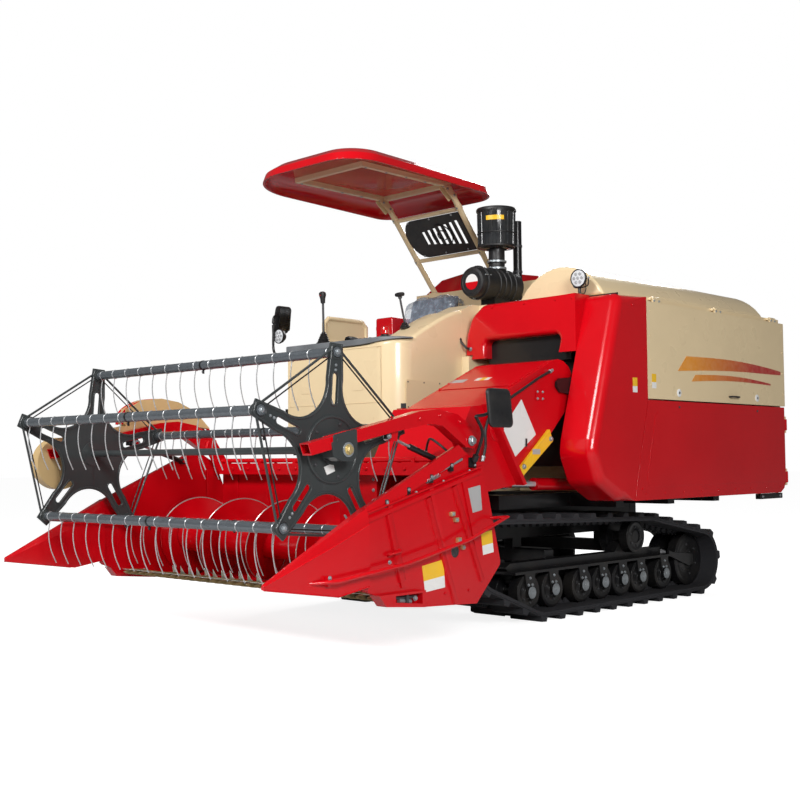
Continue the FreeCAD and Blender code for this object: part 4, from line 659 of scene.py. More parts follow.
    def build(self, name: str, body: str, bevel: float = 0.0, angle: float = 32.0,
              stands_for: tuple[str, ...] = ()) -> bpy.types.Object:
        """Make the object, which rides on body.

        Args:
            name: the object's name.
            body: the body it rides on.
            bevel: width of its softened edges.
            angle: edges sharper than this, in degrees, are softened.
            stands_for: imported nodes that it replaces.

        Returns:
            The object.
        """
        mesh = bpy.data.meshes.new(name)
        mesh.from_pydata(np.vstack(self.points).tolist(), [], self.faces)
        for finish in self.finishes:
            mesh.materials.append(finish.material())
        mesh.polygons.foreach_set("material_index", self.marks)
        return dress(mesh, name, body, bevel, 2, angle, stands_for)

    def stand_in(self, node: str, angle: float = 35.0) -> bpy.types.Object:
        """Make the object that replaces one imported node, on that node's body."""
        return self.build(node + "_dressed", BODY_OF[node], angle=angle, stands_for=(node,))


def dress(mesh: bpy.types.Mesh, name: str, body: str, bevel: float, segments: int,
          angle: float, stands_for: tuple[str, ...]) -> bpy.types.Object:
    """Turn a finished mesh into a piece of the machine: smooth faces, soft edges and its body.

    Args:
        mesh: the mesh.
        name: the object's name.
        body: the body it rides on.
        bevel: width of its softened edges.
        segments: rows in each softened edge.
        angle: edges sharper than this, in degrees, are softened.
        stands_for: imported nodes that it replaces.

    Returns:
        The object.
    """
    mesh.validate()
    mesh.polygons.foreach_set("use_smooth", np.ones(len(mesh.polygons), bool))
    mesh.set_sharp_from_angle(angle=radians(angle))
    piece = bpy.data.objects.new(name, mesh)
    bpy.context.scene.collection.objects.link(piece)
    if bevel:
        edges = piece.modifiers.new("soft_edges", "BEVEL")
        edges.width, edges.segments = bevel, segments
        edges.limit_method, edges.angle_limit = "ANGLE", radians(angle)
        edges.harden_normals = edges.use_clamp_overlap = True
    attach(piece, body)
    if stands_for:
        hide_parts(*stands_for)
    LOG.info("piece %s: %d faces on %s", name, len(mesh.polygons), body)
    return piece


BODY_OF = {node: body for body, nodes in frame["record"]["behaviour"]["bodies"].items() for node in nodes}


def soften(node: str, finish: Finish, bevel: float, segments: int = 2, angle: float = 32.0) -> bpy.types.Object:
    """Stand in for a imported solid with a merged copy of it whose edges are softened.

    Args:
        node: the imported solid.
        finish: its finish.
        bevel: width of each softened edge.
        segments: rows in each softened edge.
        angle: edges sharper than this, in degrees, are softened.

    Returns:
        The new object.
    """
    work = bmesh.new()
    work.from_mesh(frame["nodes"][node].data)
    bmesh.ops.remove_doubles(work, verts=work.verts, dist=2e-5)
    bmesh.ops.dissolve_limit(work, angle_limit=radians(0.7), verts=work.verts, edges=work.edges)
    mesh = bpy.data.meshes.new(node + "_skin")
    work.to_mesh(mesh)
    work.free()
    mesh.materials.clear()
    mesh.materials.append(finish.material())
    mesh.polygons.foreach_set("material_index", np.zeros(len(mesh.polygons), np.int32))
    return dress(mesh, node + "_skin", BODY_OF[node], bevel, segments, angle, (node,))


@dataclass
class Skins:
    """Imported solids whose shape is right, with their finish and edge width in metres."""

    plan: tuple[tuple[str, Finish, float], ...] = (
        ("running_wheels", BLACK, 0.003), ("track_frames", BLACK, 0.004), ("drive_sprockets", CAST, 0.003),
        ("chassis_frame", BLACK, 0.005), ("deck_frame", BLACK, 0.005), ("rear_crossmember", BLACK, 0.005),
        ("gearbox", CAST, 0.01), ("thresher_body", CREAM, 0.005), ("straw_hood", CREAM, 0.006),
        ("side_drives", CAST, 0.002), ("lower_body", CREAM, 0.008), ("grain_tank", CREAM, 0.006),
        ("tank_lid", RED, 0.008), ("unloading_tube", CREAM, 0.006), ("engine_block", CAST, 0.012),
        ("radiator_grille", PLASTIC, 0.002), ("platform", BLACK, 0.004), ("side_guard", CREAM, 0.003),
        ("lift_barrel", RED, 0.002), ("lift_rod", CHROME, 0.0), ("reel_barrels", BLACK, 0.001),
        ("reel_rods", CHROME, 0.0))
    front: float = -0.345

    def build(self) -> None:
        """Dress every solid of the plan, with black paint ahead of the thresher's cream sides."""
        for node, finish, bevel in self.plan:
            mesh = soften(node, finish, bevel).data
            if node == "thresher_body":
                mesh.materials.append(BLACK.material())
                centres = np.empty(len(mesh.polygons) * 3)
                mesh.polygons.foreach_get("center", centres)
                mesh.polygons.foreach_set("material_index", (centres[::3] > self.front).astype(np.int32))


# ---- reel ---------------------------------------------------------------------------------------

def ring_path(centre: Point, radius: float, axis: str = "y", steps: int = 40) -> Array:
    """Closed circle of points round a centre, square to one axis."""
    t = circle(steps)
    return np.insert(radius * np.hstack([np.cos(t), np.sin(t)]), "xyz".index(axis), 0.0, axis=1) + np.asarray(centre)


@dataclass
class Reel:
    """Pick-up reel: its place, its five spokes and the sizes that its pieces share."""

    centre: tuple[float, float] = (1.9695, 1.0)
    reach: float = 0.457
    phase: float = 94.4
    spokes: int = 5
    plate_y: float = 1.015
    plate: float = 0.01

    def angles(self) -> Array:
        """Angle of each spoke in the side view, in radians."""
        return np.radians(self.phase + 360.0 / self.spokes * np.arange(self.spokes))

    def at(self, radius: float, angle: float, y: float) -> Point:
        """Point on the reel at a radius, an angle and a place across it."""
        return self.centre[0] + radius * cos(angle), y, self.centre[1] + radius * sin(angle)


@dataclass
class TineBars(Reel):
    """Tubes across the reel, each with a band at its middle and a row of sprung wires."""

    half: float = 1.033
    tube: float = 0.024
    tines: int = 16
    inset: float = 0.045
    wire: float = 0.0029
    coil: float = 0.0238
    rise: float = 0.007
    drop: float = 0.262
    bend: Rows = ((0.01, -0.076), (0.008, -0.131), (-0.008, -0.197))

    def wires(self, shape: Shape, x: float, z: float) -> None:
        """Hang the wires, each wound once round the tube before it drops.

        Args:
            shape: where they are added.
            x: the tube's place along the machine.
            z: its height.
        """
        t = np.linspace(1.5 * pi, 3.5 * pi, 16)[:, None]
        across = self.rise - self.rise * (t - 1.5 * pi) / (2 * pi)
        start = np.hstack([self.coil * np.cos(t), across, -self.coil * np.sin(t)])
        hang = smooth_path([(0.002, -self.coil), *self.bend, (-0.038, -self.drop)], 6)
        path = np.vstack([start, np.insert(hang[1:], 1, 0.0, axis=1)]) + (x, 0.0, z)
        edge = self.plate_y - self.inset
        for y in np.linspace(-edge, edge, self.tines):
            shape.tube(path + (0.0, y, 0.0), self.wire, WIRE, 7, up=LEFT)

    def build(self) -> None:
        """Make one piece for each bar."""
        r, h = self.tube, self.half
        pipe = [(0, r - 0.004), (0, r - 0.001), (0.001, r), (2 * h - 0.001, r), (2 * h, r - 0.001),
                (2 * h, r - 0.004)]
        ring = [(0, r + 0.001), (0, r + 0.008), (0.003, r + 0.009), (0.011, r + 0.009), (0.014, r + 0.006),
                (0.014, r)]
        for index, angle in enumerate(self.angles(), 1):
            x, _, z = self.at(self.reach, angle, 0.0)
            shape = Shape().lathe(pipe, (x, -h, z), LEFT, TUBE, 28)
            for s in SIDES:
                shape.lathe(ring, (x, s * (self.plate_y - 0.022), z), (0, s, 0), CHARCOAL, 28)
                shape.bolt((x, s * h, z), (0, s, 0), 0.011)
            shape.collar((x, -0.0055, z), LEFT, (0, 0.011), (r, r + 0.0022), BLACK, 28)
            shape.block((x - 0.004, -0.004, z - r - 0.02), (x + 0.004, 0.004, z - r + 0.002), BLACK)
            shape.bolt((x + 0.004, 0.0, z - r - 0.01), AHEAD, 0.005, CAST)
            self.wires(shape, x, z)
            shape.stand_in("tine_bar_%d" % index, 40.0)


@dataclass
class Stars(Reel):
    """Pressed five-armed end plates: beads round their edges and slots, hub discs and tie rods."""

    tip: float = 0.497
    tip_half: float = 0.038
    hip: float = 0.33
    hip_half: float = 0.052
    waist: float = 0.205
    bead: float = 0.0052
    slot: tuple[float, float, float] = (0.225, 0.341, 0.021)
    ties: Rows = ((0.01, 0.004), (-0.018, 0.01))

    def outline(self, inset: float) -> Array:
        """Edge of the plate pulled in by inset, about the reel's centre.

        Between two arms the edge is the arc through both hips and the waist point. Its centre
        lies on the line half-way between the arms, at the distance from which the hip and the
        waist are equally far.

        Args:
            inset: how far it is pulled in.

        Returns:
            (n, 2) points in order.
        """
        parts = []
        half, hip_half, waist = self.tip_half - inset, self.hip_half - inset, self.waist - inset
        for a in self.angles():
            ray, side = np.array([cos(a), sin(a)]), np.array([-sin(a), cos(a)])
            tip, hip = ray * (self.tip - inset), ray * self.hip
            arm = [hip - side * hip_half, tip - side * half, tip + side * half, hip + side * hip_half]
            middle = a + pi / self.spokes
            line = np.array([cos(middle), sin(middle)])
            far = (arm[3] @ arm[3] - waist ** 2) / (2 * (arm[3] @ line - waist))
            r, spread = far - waist, arm[3] - line * far
            across = np.array([-line[1], line[0]])
            turn = atan2(float(spread @ across), float(-spread @ line))
            t = np.linspace(turn, -turn, 13)[1:-1, None]
            parts.append(np.vstack([arm, line * far - line * r * np.cos(t) + across * r * np.sin(t)]))
        return np.vstack(parts)

    def face(self, shape: Shape, y: float) -> None:
        """Beads on one face of a plate: round its edge, its slots and its bar bearings.

        Args:
            shape: where they are added.
            y: the face's place across the machine.
        """
        edge = rounded(self.outline(0.009), 0.012, 3)
        shape.hoop(np.insert(edge + self.centre, 1, y, axis=1), self.bead, CHARCOAL)
        low, high, half = self.slot
        for a in self.angles():
            ray, side = np.array([cos(a), sin(a)]), np.array([-sin(a), cos(a)])
            ends = [ray * r + side * s * half for r, s in zip((low - half, *[high + half] * 2, low - half),
                                                              (1, 1, -1, -1))]
            slot = rounded(ends, half * 0.98, 8) + self.centre
            shape.hoop(np.insert(slot, 1, y, axis=1), 0.0045, CHARCOAL)
            shape.hoop(ring_path(self.at(self.reach, a, y), 0.033), 0.005, CHARCOAL)

    def build(self) -> None:
        """Make the beads, hubs, bolts and ties of both ends."""
        soften("reel_frame", CHARCOAL, 0.0015)
        x, z = self.centre
        shape = Shape()
        for s in SIDES:
            outer, out = s * (self.plate_y + self.plate), (0, s, 0)
            boss = s * (self.plate_y + self.plate + 0.006)
            self.face(shape, outer)
            self.face(shape, s * self.plate_y)
            for angle in self.angles():
                for shift, y in self.ties:
                    rod = [self.at(self.reach + shift, angle + radians(t),
                                   s * (self.plate_y + y)) for t in (3.6, 68.4)]
                    shape.tube(rod, 0.0036, BLACK, 8)
            shape.hoop(ring_path((x, boss, z), 0.152, steps=56), 0.006, CHARCOAL, 10)
            for angle in self.angles():
                shape.bolt(self.at(0.127, angle + 0.3, boss), out, 0.0075, CAST)
                shape.bolts([self.at(radius, angle, outer) for radius in (0.395, 0.372)], out, 0.0055)
        shape.build("star_beads", "reel", angle=50.0)
        spot = rounded(mm([(2025, 922), (1969, 939), (1957, 902), (2007, 885)]), 0.003)
        Shape().slab(spot, 1.032, 1.0345, "y", WHITE).build("hub_blank_tag", "reel")


@dataclass
class ReelArms(Reel):
    """Curved arms that carry the reel, with their hangers, pins and cylinder hoses."""

    inner: float = 1.066
    outer: float = 1.126
    hanger: Rows = ((1912, 1098), (2063, 1066), (2055, 968), (2004, 950), (1936, 950), (1912, 975))
    wrap: Rows = ((2066, 1034), (2058, 966), (2005, 947), (1935, 947), (1909, 974), (1909, 1046))

    def build(self) -> None:
        """Dress the arms of both ends."""
        soften("reel_arms", RED, 0.006, 3)
        shape = Shape()
        x, z = self.centre
        plate, wrap = rounded(mm(self.hanger), 0.012), rounded(mm(self.wrap), 0.008)
        for s in SIDES:
            inner, outer, out = s * self.inner, s * self.outer, (0, s, 0)
            shape.slab(plate, outer + s * 0.0072, outer + s * 0.0095, "y", CHARCOAL)
            shape.slab(plate, inner - s * 0.0025, inner - s * 0.0002, "y", CHARCOAL)
            shape.slab(wrap, inner - s * 0.003, outer + s * 0.009, "y", CHARCOAL)
            shape.lathe(mm([(0, 34), (4, 34), (5, 30), (5, 26)]), (x, outer + s * 0.0095, z), out, ZINC, 28)
            shape.bolt((x, outer + s * 0.013, z), out, 0.019, BRASS)
            shape.bolt((1.095, outer + s * 0.004, 1.045), out, 0.02)
            shape.bolt((2.036, outer + s * 0.0095, 1.044), out, 0.006, CHARCOAL)
            shape.bolts([(1.18, outer, 1.14), (1.33, outer, 1.17), (1.48, outer, 1.15)], out, 0.009, RED)
            shape.block((1.655, s * 1.096 - 0.01, 1.05), (1.69, s * 1.096 + 0.01, 1.082), BLACK, 0.004)
            shape.bolt((1.672, s * 1.106, 1.064), out, 0.01)
        shape.build("arm_fittings", "reel_arms", 0.0012)


@dataclass
class DriveCover:
    """Reel drive guard on the right arm: a dished round cover and an arched belt cover."""

    centre: Point = (2.11, -1.198, 0.945)
    dish: Rows = ((0, 140), (4, 138), (6, 120), (3, 112), (3, 50), (7, 44), (7, 2))
    arch: Rows = ((1045, 1160), (1162, 1271), (1290, 1325), (1419, 1344), (1560, 1330),
                                         (1674, 1272), (1700, 1190))

    def build(self) -> None:
        """Dress the cover."""
        soften("reel_drive_cover", TAN, 0.012, 3)
        shape = Shape().lathe(mm(self.dish), self.centre, RIGHT, TAN, 48)
        arch = smooth_path(mm(self.arch), 5) - (0.0, 0.012)
        for y in (-1.19, -1.14):
            shape.tube(np.insert(arch, 1, y, axis=1), 0.01, RED, 10, up=LEFT)
        shape.bolts(mm([(1200, -1189, 1225), (1420, -1189, 1250), (1620, -1189, 1215), (1860, -1181, 1060)]),
                    RIGHT, 0.009)
        shape.build("drive_cover_face", "reel_arms", 0.001)


# ---- header -------------------------------------------------------------------------------------

@dataclass
class FeedAuger:
    """Drum with two opposed screw flights and retracting fingers before the feeder."""

    axle: tuple[float, float] = (1.22, 0.49)
    drum: float = 0.11
    tip: float = 0.235
    pitch: float = 0.43
    sheet: float = 0.005
    half: float = 1.083
    fingers: int = 10
    flights: tuple[tuple[float, float, int, float], ...] = ((-1.075, 0.29, 1, 0.4), (0.84, 1.07, -1, 1.9))

    def flight(self, shape: Shape, start: float, end: float, hand: int, phase: float) -> None:
        """Screw flight: the angle grows in proportion to the way along the drum.

        Args:
            shape: where it is added.
            start: its right end.
            end: its left end.
            hand: 1 or -1, the way it turns.
            phase: angle at its start.
        """
        y = np.linspace(start, end, int((end - start) / self.pitch * 72))[:, None]
        angle = phase + hand * 2 * pi * (y - start) / self.pitch
        radius = np.array([self.drum - 0.004, self.tip, self.tip, self.drum - 0.004])
        thick = np.array([0.0, 0.0, self.sheet, self.sheet])
        x, z = self.axle
        grid = np.stack([x + radius * np.cos(angle), y + thick, z + radius * np.sin(angle)], -1)
        shape.sheet(grid, RED, around=True, caps=True)
        shape.tube(grid[:, 1:3].mean(1), 0.0035, WORN, 6, up=LEFT)

    def build(self) -> None:
        """Make the auger."""
        x, z = self.axle
        r, h = self.drum, self.half
        drum = [(0, 0.03), (0, r - 0.004), (0.004, r), (2 * h - 0.004, r), (2 * h, r - 0.004), (2 * h, 0.03)]
        shape = Shape().lathe(drum, (x, -h, z), LEFT, RED, 48)
        shape.collar((x, -1.118, z), LEFT, (0, 2.236), (0.002, 0.03), CAST, 24)
        for s in SIDES:
            rim = mm([(0, 236), (2, 238), (5, 236), (5, 112)])
            shape.lathe(rim, (x, s * 1.075, z), (0, s, 0), RED, 48, caps=False)
        for row in self.flights:
            self.flight(shape, *row)
        for i in range(self.fingers):
            at, way = np.array([x, 0.32 + 0.048 * i, z]), np.array([cos(radians(137 * i)), 0.0,
                                                                    sin(radians(137 * i))])
            shape.lathe(mm([(0, 4), (0, 6.5), (214, 6.5), (220, 4)]), at, way, ZINC, 10)
            shape.lathe(mm([(0, 20), (6, 20), (12, 14), (12, 7)]), at + (r - 0.002) * way, way, PLASTIC, 16)
        shape.stand_in("feed_auger")


@dataclass
class Knife:
    """Cutter bar: pointed guards, the toothed blade between them, its hold-down clips and comb."""

    front: tuple[float, float] = (1.65, 0.2894)
    tilt: float = 7.5
    pitch: float = 0.0762
    guards: int = 28
    half: float = 1.09
    teeth: int = 11

    def tilted(self, points: Array) -> Array:
        """Points given along, across and above the bar, turned up by the floor's slope."""
        c, s = cos(radians(self.tilt)), sin(radians(self.tilt))
        u, y, w = np.moveaxis(np.asarray(points, float), -1, 0)
        return np.stack([self.front[0] + u * c - w * s, y, self.front[1] + u * s + w * c], -1)

    def carry(self, shape: Shape, profile: list[tuple[float, float]], low: float, high: float,
              finish: Finish) -> None:
        """Bar whose profile (along, above) is carried from low to high across the machine."""
        grid = np.stack([np.insert(np.array(profile), 1, y, axis=1) for y in (low, high)])
        shape.sheet(self.tilted(grid), finish, around=True, caps=True)

    def guard(self, shape: Shape, y: float) -> None:
        """One forged finger: four-sided rings that narrow and dip to a point."""
        rings = mm([(6, 20, -10, 6), (28, 13, -14, 11), (55, 11, -14, 11), (82, 8, -10, 6), (104, 1.5, -3, -1)])
        grid = [[(u, y - h, low), (u, y - h, high), (u, y + h, high), (u, y + h, low)] for u, h, low, high in rings]
        shape.sheet(self.tilted(grid), FORGED, around=True, caps=True)

    def tooth(self, shape: Shape, y: float) -> None:
        """One triangular blade section."""
        h, bottom, thick = self.pitch / 2 - 0.001, 0.0118, 0.0022
        flat = [(0.004, -h), (0.03, -h), (0.082, -0.007), (0.082, 0.007), (0.03, h), (0.004, h)]
        grid = [[(u, y + v, w) for u, v in flat] for w in (bottom, bottom + thick)]
        shape.sheet(self.tilted(grid), BLADE, around=True, caps=True)

    def comb(self, shape: Shape) -> None:
        """Row of upright teeth behind the middle of the blade, leaning forward."""
        flat = mm([(-12, -30, 10), (-12, 30, 10), (0, 14, 26), (16, -4, 62), (0, -16, 26)])
        thick = mm([(-1.5, 0, 0), (1.5, 0, 0)])[:, None]
        for index in range(self.teeth):
            at = (0.0, 0.1 - index * self.pitch, 0.0)
            shape.sheet(self.tilted(flat + thick + at), BLADE, around=True, caps=True)

    def build(self) -> None:
        """Make the cutter bar."""
        shape = Shape()
        self.comb(shape)
        h, up = self.half, (-sin(radians(self.tilt)), 0, cos(radians(self.tilt)))
        self.carry(shape, mm([(0, -9), (0, 3), (46, 3), (46, -9)]), -h, h, BLACK)
        self.carry(shape, mm([(4, 14), (4, 19), (22, 19), (22, 14)]), -h, h, FORGED)
        places = (np.arange(self.guards) - (self.guards - 1) / 2) * self.pitch
        for index, y in enumerate(places):
            self.guard(shape, y)
            self.tooth(shape, (y if index < self.guards - 1 else places[0] - self.pitch) + self.pitch / 2)
            if index % 4 == 1:
                self.carry(shape, mm([(0, 19), (0, 24), (52, 21), (52, 16)]), y - 0.014, y + 0.014, FORGED)
                shape.bolt(self.tilted((0.012, y, 0.022)), up, 0.006)
        shape.build("knife_dressed", "header", 0.0006, stands_for=("knife_bar",))


def notice(shape: Shape, corners: Array, y: float) -> None:
    """Blank two-colour plate on a face that looks to the left, yellow above white.

    Args:
        shape: where it is added.
        corners: four (x, z) corners from the upper front round to the lower front.
        y: the face it lies on.
    """
    a, b, c, d = corners
    e, f = b + 0.58 * (c - b), a + 0.58 * (d - a)
    shape.slab([a, b, e, f], y, y + 0.0012, "y", YELLOW)
    shape.slab([f, e, c, d], y, y + 0.0012, "y", WHITE)


@dataclass
class EndPanels:
    """Header ends: folded flanges, latches, blank plates, skid gear and the rods in the ridge."""

    outer: float = 1.12
    lip: tuple[tuple[float, float], tuple[float, float]] = ((1.85, 0.706), (1.015, 0.914))
    folds: Rows = (
        (1690, 700, 1604, 375, 60, 14), (1418, 765, 1216, 240, 50, 12), (1226, 818, 1010, 335, 50, 12),
        (1844, 676, 1022, 892, 34, 15), (1836, 662, 1832, 440, 30, 15))
    catches: Rows = ((1262, 690, 1232, 668), (1234, 660, 1206, 638), (1214, 560, 1186, 534),
                                            (1180, 520, 1160, 498))
    seams: tuple[Rows, ...] = (((1850, 1150, 655), (2040, 1142, 575), (2459, 1126, 418)),
                               ((1850, 1150, 372), (2040, 1142, 341), (2459, 1126, 405)))
    plates: tuple[Rows, ...] = (((1466, 436), (1310, 458), (1300, 320), (1446, 308)),
                                                       ((1018, 572), (932, 583), (918, 469), (1004, 459)))

    def pressed(self, shape: Shape, s: int) -> None:
        """Pressed strips from a to b: the profile climbs steeply, runs flat and slopes off."""
        for ax, az, bx, bz, wide, rise in mm(self.folds):
            ends = np.array([(ax, az), (bx, bz)])
            ahead = unit(ends[1] - ends[0])
            profile = np.array([(-0.5, -0.002), (-0.4, rise), (0.05, rise), (0.5, -0.002)])
            flat = ends[:, None] + profile[None, :, :1] * np.array([ahead[1], -ahead[0]]) * wide
            out = np.broadcast_to(s * (self.outer + profile[:, 1]), (2, len(profile)))
            shape.sheet(np.stack([flat[..., 0], out, flat[..., 1]], -1), RED, around=True, caps=True)

    def rod(self, shape: Shape, s: int) -> None:
        """Rod along the ridge with its brackets and its spring."""
        rod = np.array([(1.78, s * 1.108, 0.726), (1.5, s * 1.11, 0.828), (1.15, s * 1.11, 0.952)])
        shape.tube(rod, 0.0075, ZINC, 10)
        for t in (0.12, 0.36, 0.62, 0.86):
            x, _, z = rod[0] + t * (rod[2] - rod[0])
            shape.block((x - 0.012, s * 1.11 - 0.011, z - 0.03), (x + 0.012, s * 1.11 + 0.011, z + 0.012),
                        BLACK, 0.003)
            shape.bolt((x, s * 1.122, z), (0, s, 0), 0.007)
        way = np.linspace(0, 1, 120)[:, None]
        turns = way * 2 * pi * 9
        a, b = np.array([1.42, s * 1.112, 0.845]), np.array([1.33, s * 1.112, 0.877])
        coil = a + way * (b - a) + 0.011 * np.hstack([0.3 * np.sin(turns), np.cos(turns), np.sin(turns)])
        shape.tube(coil, 0.0022, ZINC, 6)

    def side_gear(self, shape: Shape, s: int) -> None:
        """Catches, handle, skid adjuster, nose seams and bolts of one end."""
        y, out, ((fx, fz), (rx, rz)) = s * self.outer, (0, s, 0), self.lip
        flange = np.linspace((fx - 0.14, y + s * 0.01, fz + 0.039), (rx + 0.1, y + s * 0.01, rz - 0.021), 4)
        shape.bolts(flange, (0.2, 0, 1), 0.006)
        self.pressed(shape, s)
        self.rod(shape, s)
        for x0, z0, x1, z1 in mm(self.catches):
            shape.block((x1, y, z1), (x0, y + s * 0.016, z0), BRASS, 0.004)
            shape.bolt(((x0 + x1) / 2, y + s * 0.016, (z0 + z1) / 2), out, 0.007)
        shape.bend([(1.7, y, 0.5), (1.7, y + s * 0.026, 0.51), (1.64, y + s * 0.028, 0.52), (1.64, y, 0.53)], 6,
                   0.006, RED)
        shape.bolts([(1.69, y, 0.47), (1.65, y, 0.56)], out, 0.008)
        shape.bolts(spots((1.45, 1.3, 1.12), y, 0.29), out, 0.007, RED)
        skid = s * (self.outer + 0.01)
        shape.tube([(1.68, skid, 0.302), (1.52, skid, 0.296)], 0.008, CAST, 10)
        shape.tube([(1.64, skid, 0.286), (1.56, skid, 0.276)], 0.011, ZINC, 12)
        shape.block((1.59, skid, 0.27), (1.606, skid + s * 0.02, 0.312), CAST)
        shape.bolt((1.54, skid + s * 0.012, 0.29), out, 0.01)
        for line in self.seams:
            shape.tube(mm(line) * (1, s, 1), 0.0035, RED, 8)
        shape.block((2.105, s * 1.128, 0.395), (2.125, s * 1.165, 0.44), RED, 0.004)
        shape.bolt((2.115, s * 1.165, 0.432), out, 0.008)
        shape.block((2.07, s * 1.13, 0.4), (2.16, s * 1.136, 0.47), RED, 0.008)

    def build(self) -> None:
        """Dress both ends, with the blank plates on the left one."""
        shape = Shape()
        for s, node in zip(SIDES, ("end_panel_right", "end_panel_left")):
            soften(node, RED, 0.004, 3)
            self.side_gear(shape, s)
        shape.build("panel_fittings", "header", 0.0008, 40.0)
        y, data = self.outer, rounded(mm([(1132, 800), (1021, 818), (1008, 690), (1111, 673)]), 0.004)
        tags = Shape().slab(data, y, y + 0.0014, "y", GREY_PLATE)
        for corners in self.plates:
            notice(tags, mm(corners), y)
        tags.build("panel_blank_plates", "header")


@dataclass
class TableFittings:
    """Header table: pressed ribs on its back wall, beam brackets, floor strips and bolts."""

    back: float = 0.9652

    def build(self) -> None:
        """Dress the table and the adapter behind it."""
        soften("header_table", RED, 0.003)
        soften("header_adapter", RED, 0.004)
        soften("guide_rods", RED, 0.0, angle=40.0)
        shape = Shape()
        ribs = spots(self.back, (-0.95, -0.65, -0.35, -0.05), 0.6)
        shape.blocks(ribs, (0, -0.02, 0), (0.0068, 0.02, 0.26), RED, 0.006)
        shape.bolts(spots(1.036, np.linspace(-1.05, 1.05, 15), 0.902), AHEAD, 0.009, RED)
        shape.bolts(spots(1.0, np.linspace(-1.05, 1.05, 9), 0.935), UP, 0.009, RED)
        for y in (-1.088, 1.088):
            shape.block((1.05, y, 0.3), (1.1, y * 0.994, 0.9), RED, 0.006)
        shape.tube([(1.01, -1.04, 0.952), (1.01, 1.04, 0.952)], 0.014, RED, 14)
        shape.blocks(spots(1.01, np.linspace(-0.98, 0.98, 7), 0.934), (-0.018, -0.012, 0),
                     (0.018, 0.012, 0.028), RED, 0.003)
        for y in (0.835, 0.295):
            shape.block((self.back, y - 0.025, 0.572), (0.971, y + 0.025, 0.866), RED, 0.004)
            shape.bolts(spots(0.971, y, np.linspace(0.6, 0.84, 5)), AHEAD, 0.008)
        shape.build("table_fittings", "header", 0.001)


# ---- tracks -------------------------------------------------------------------------------------

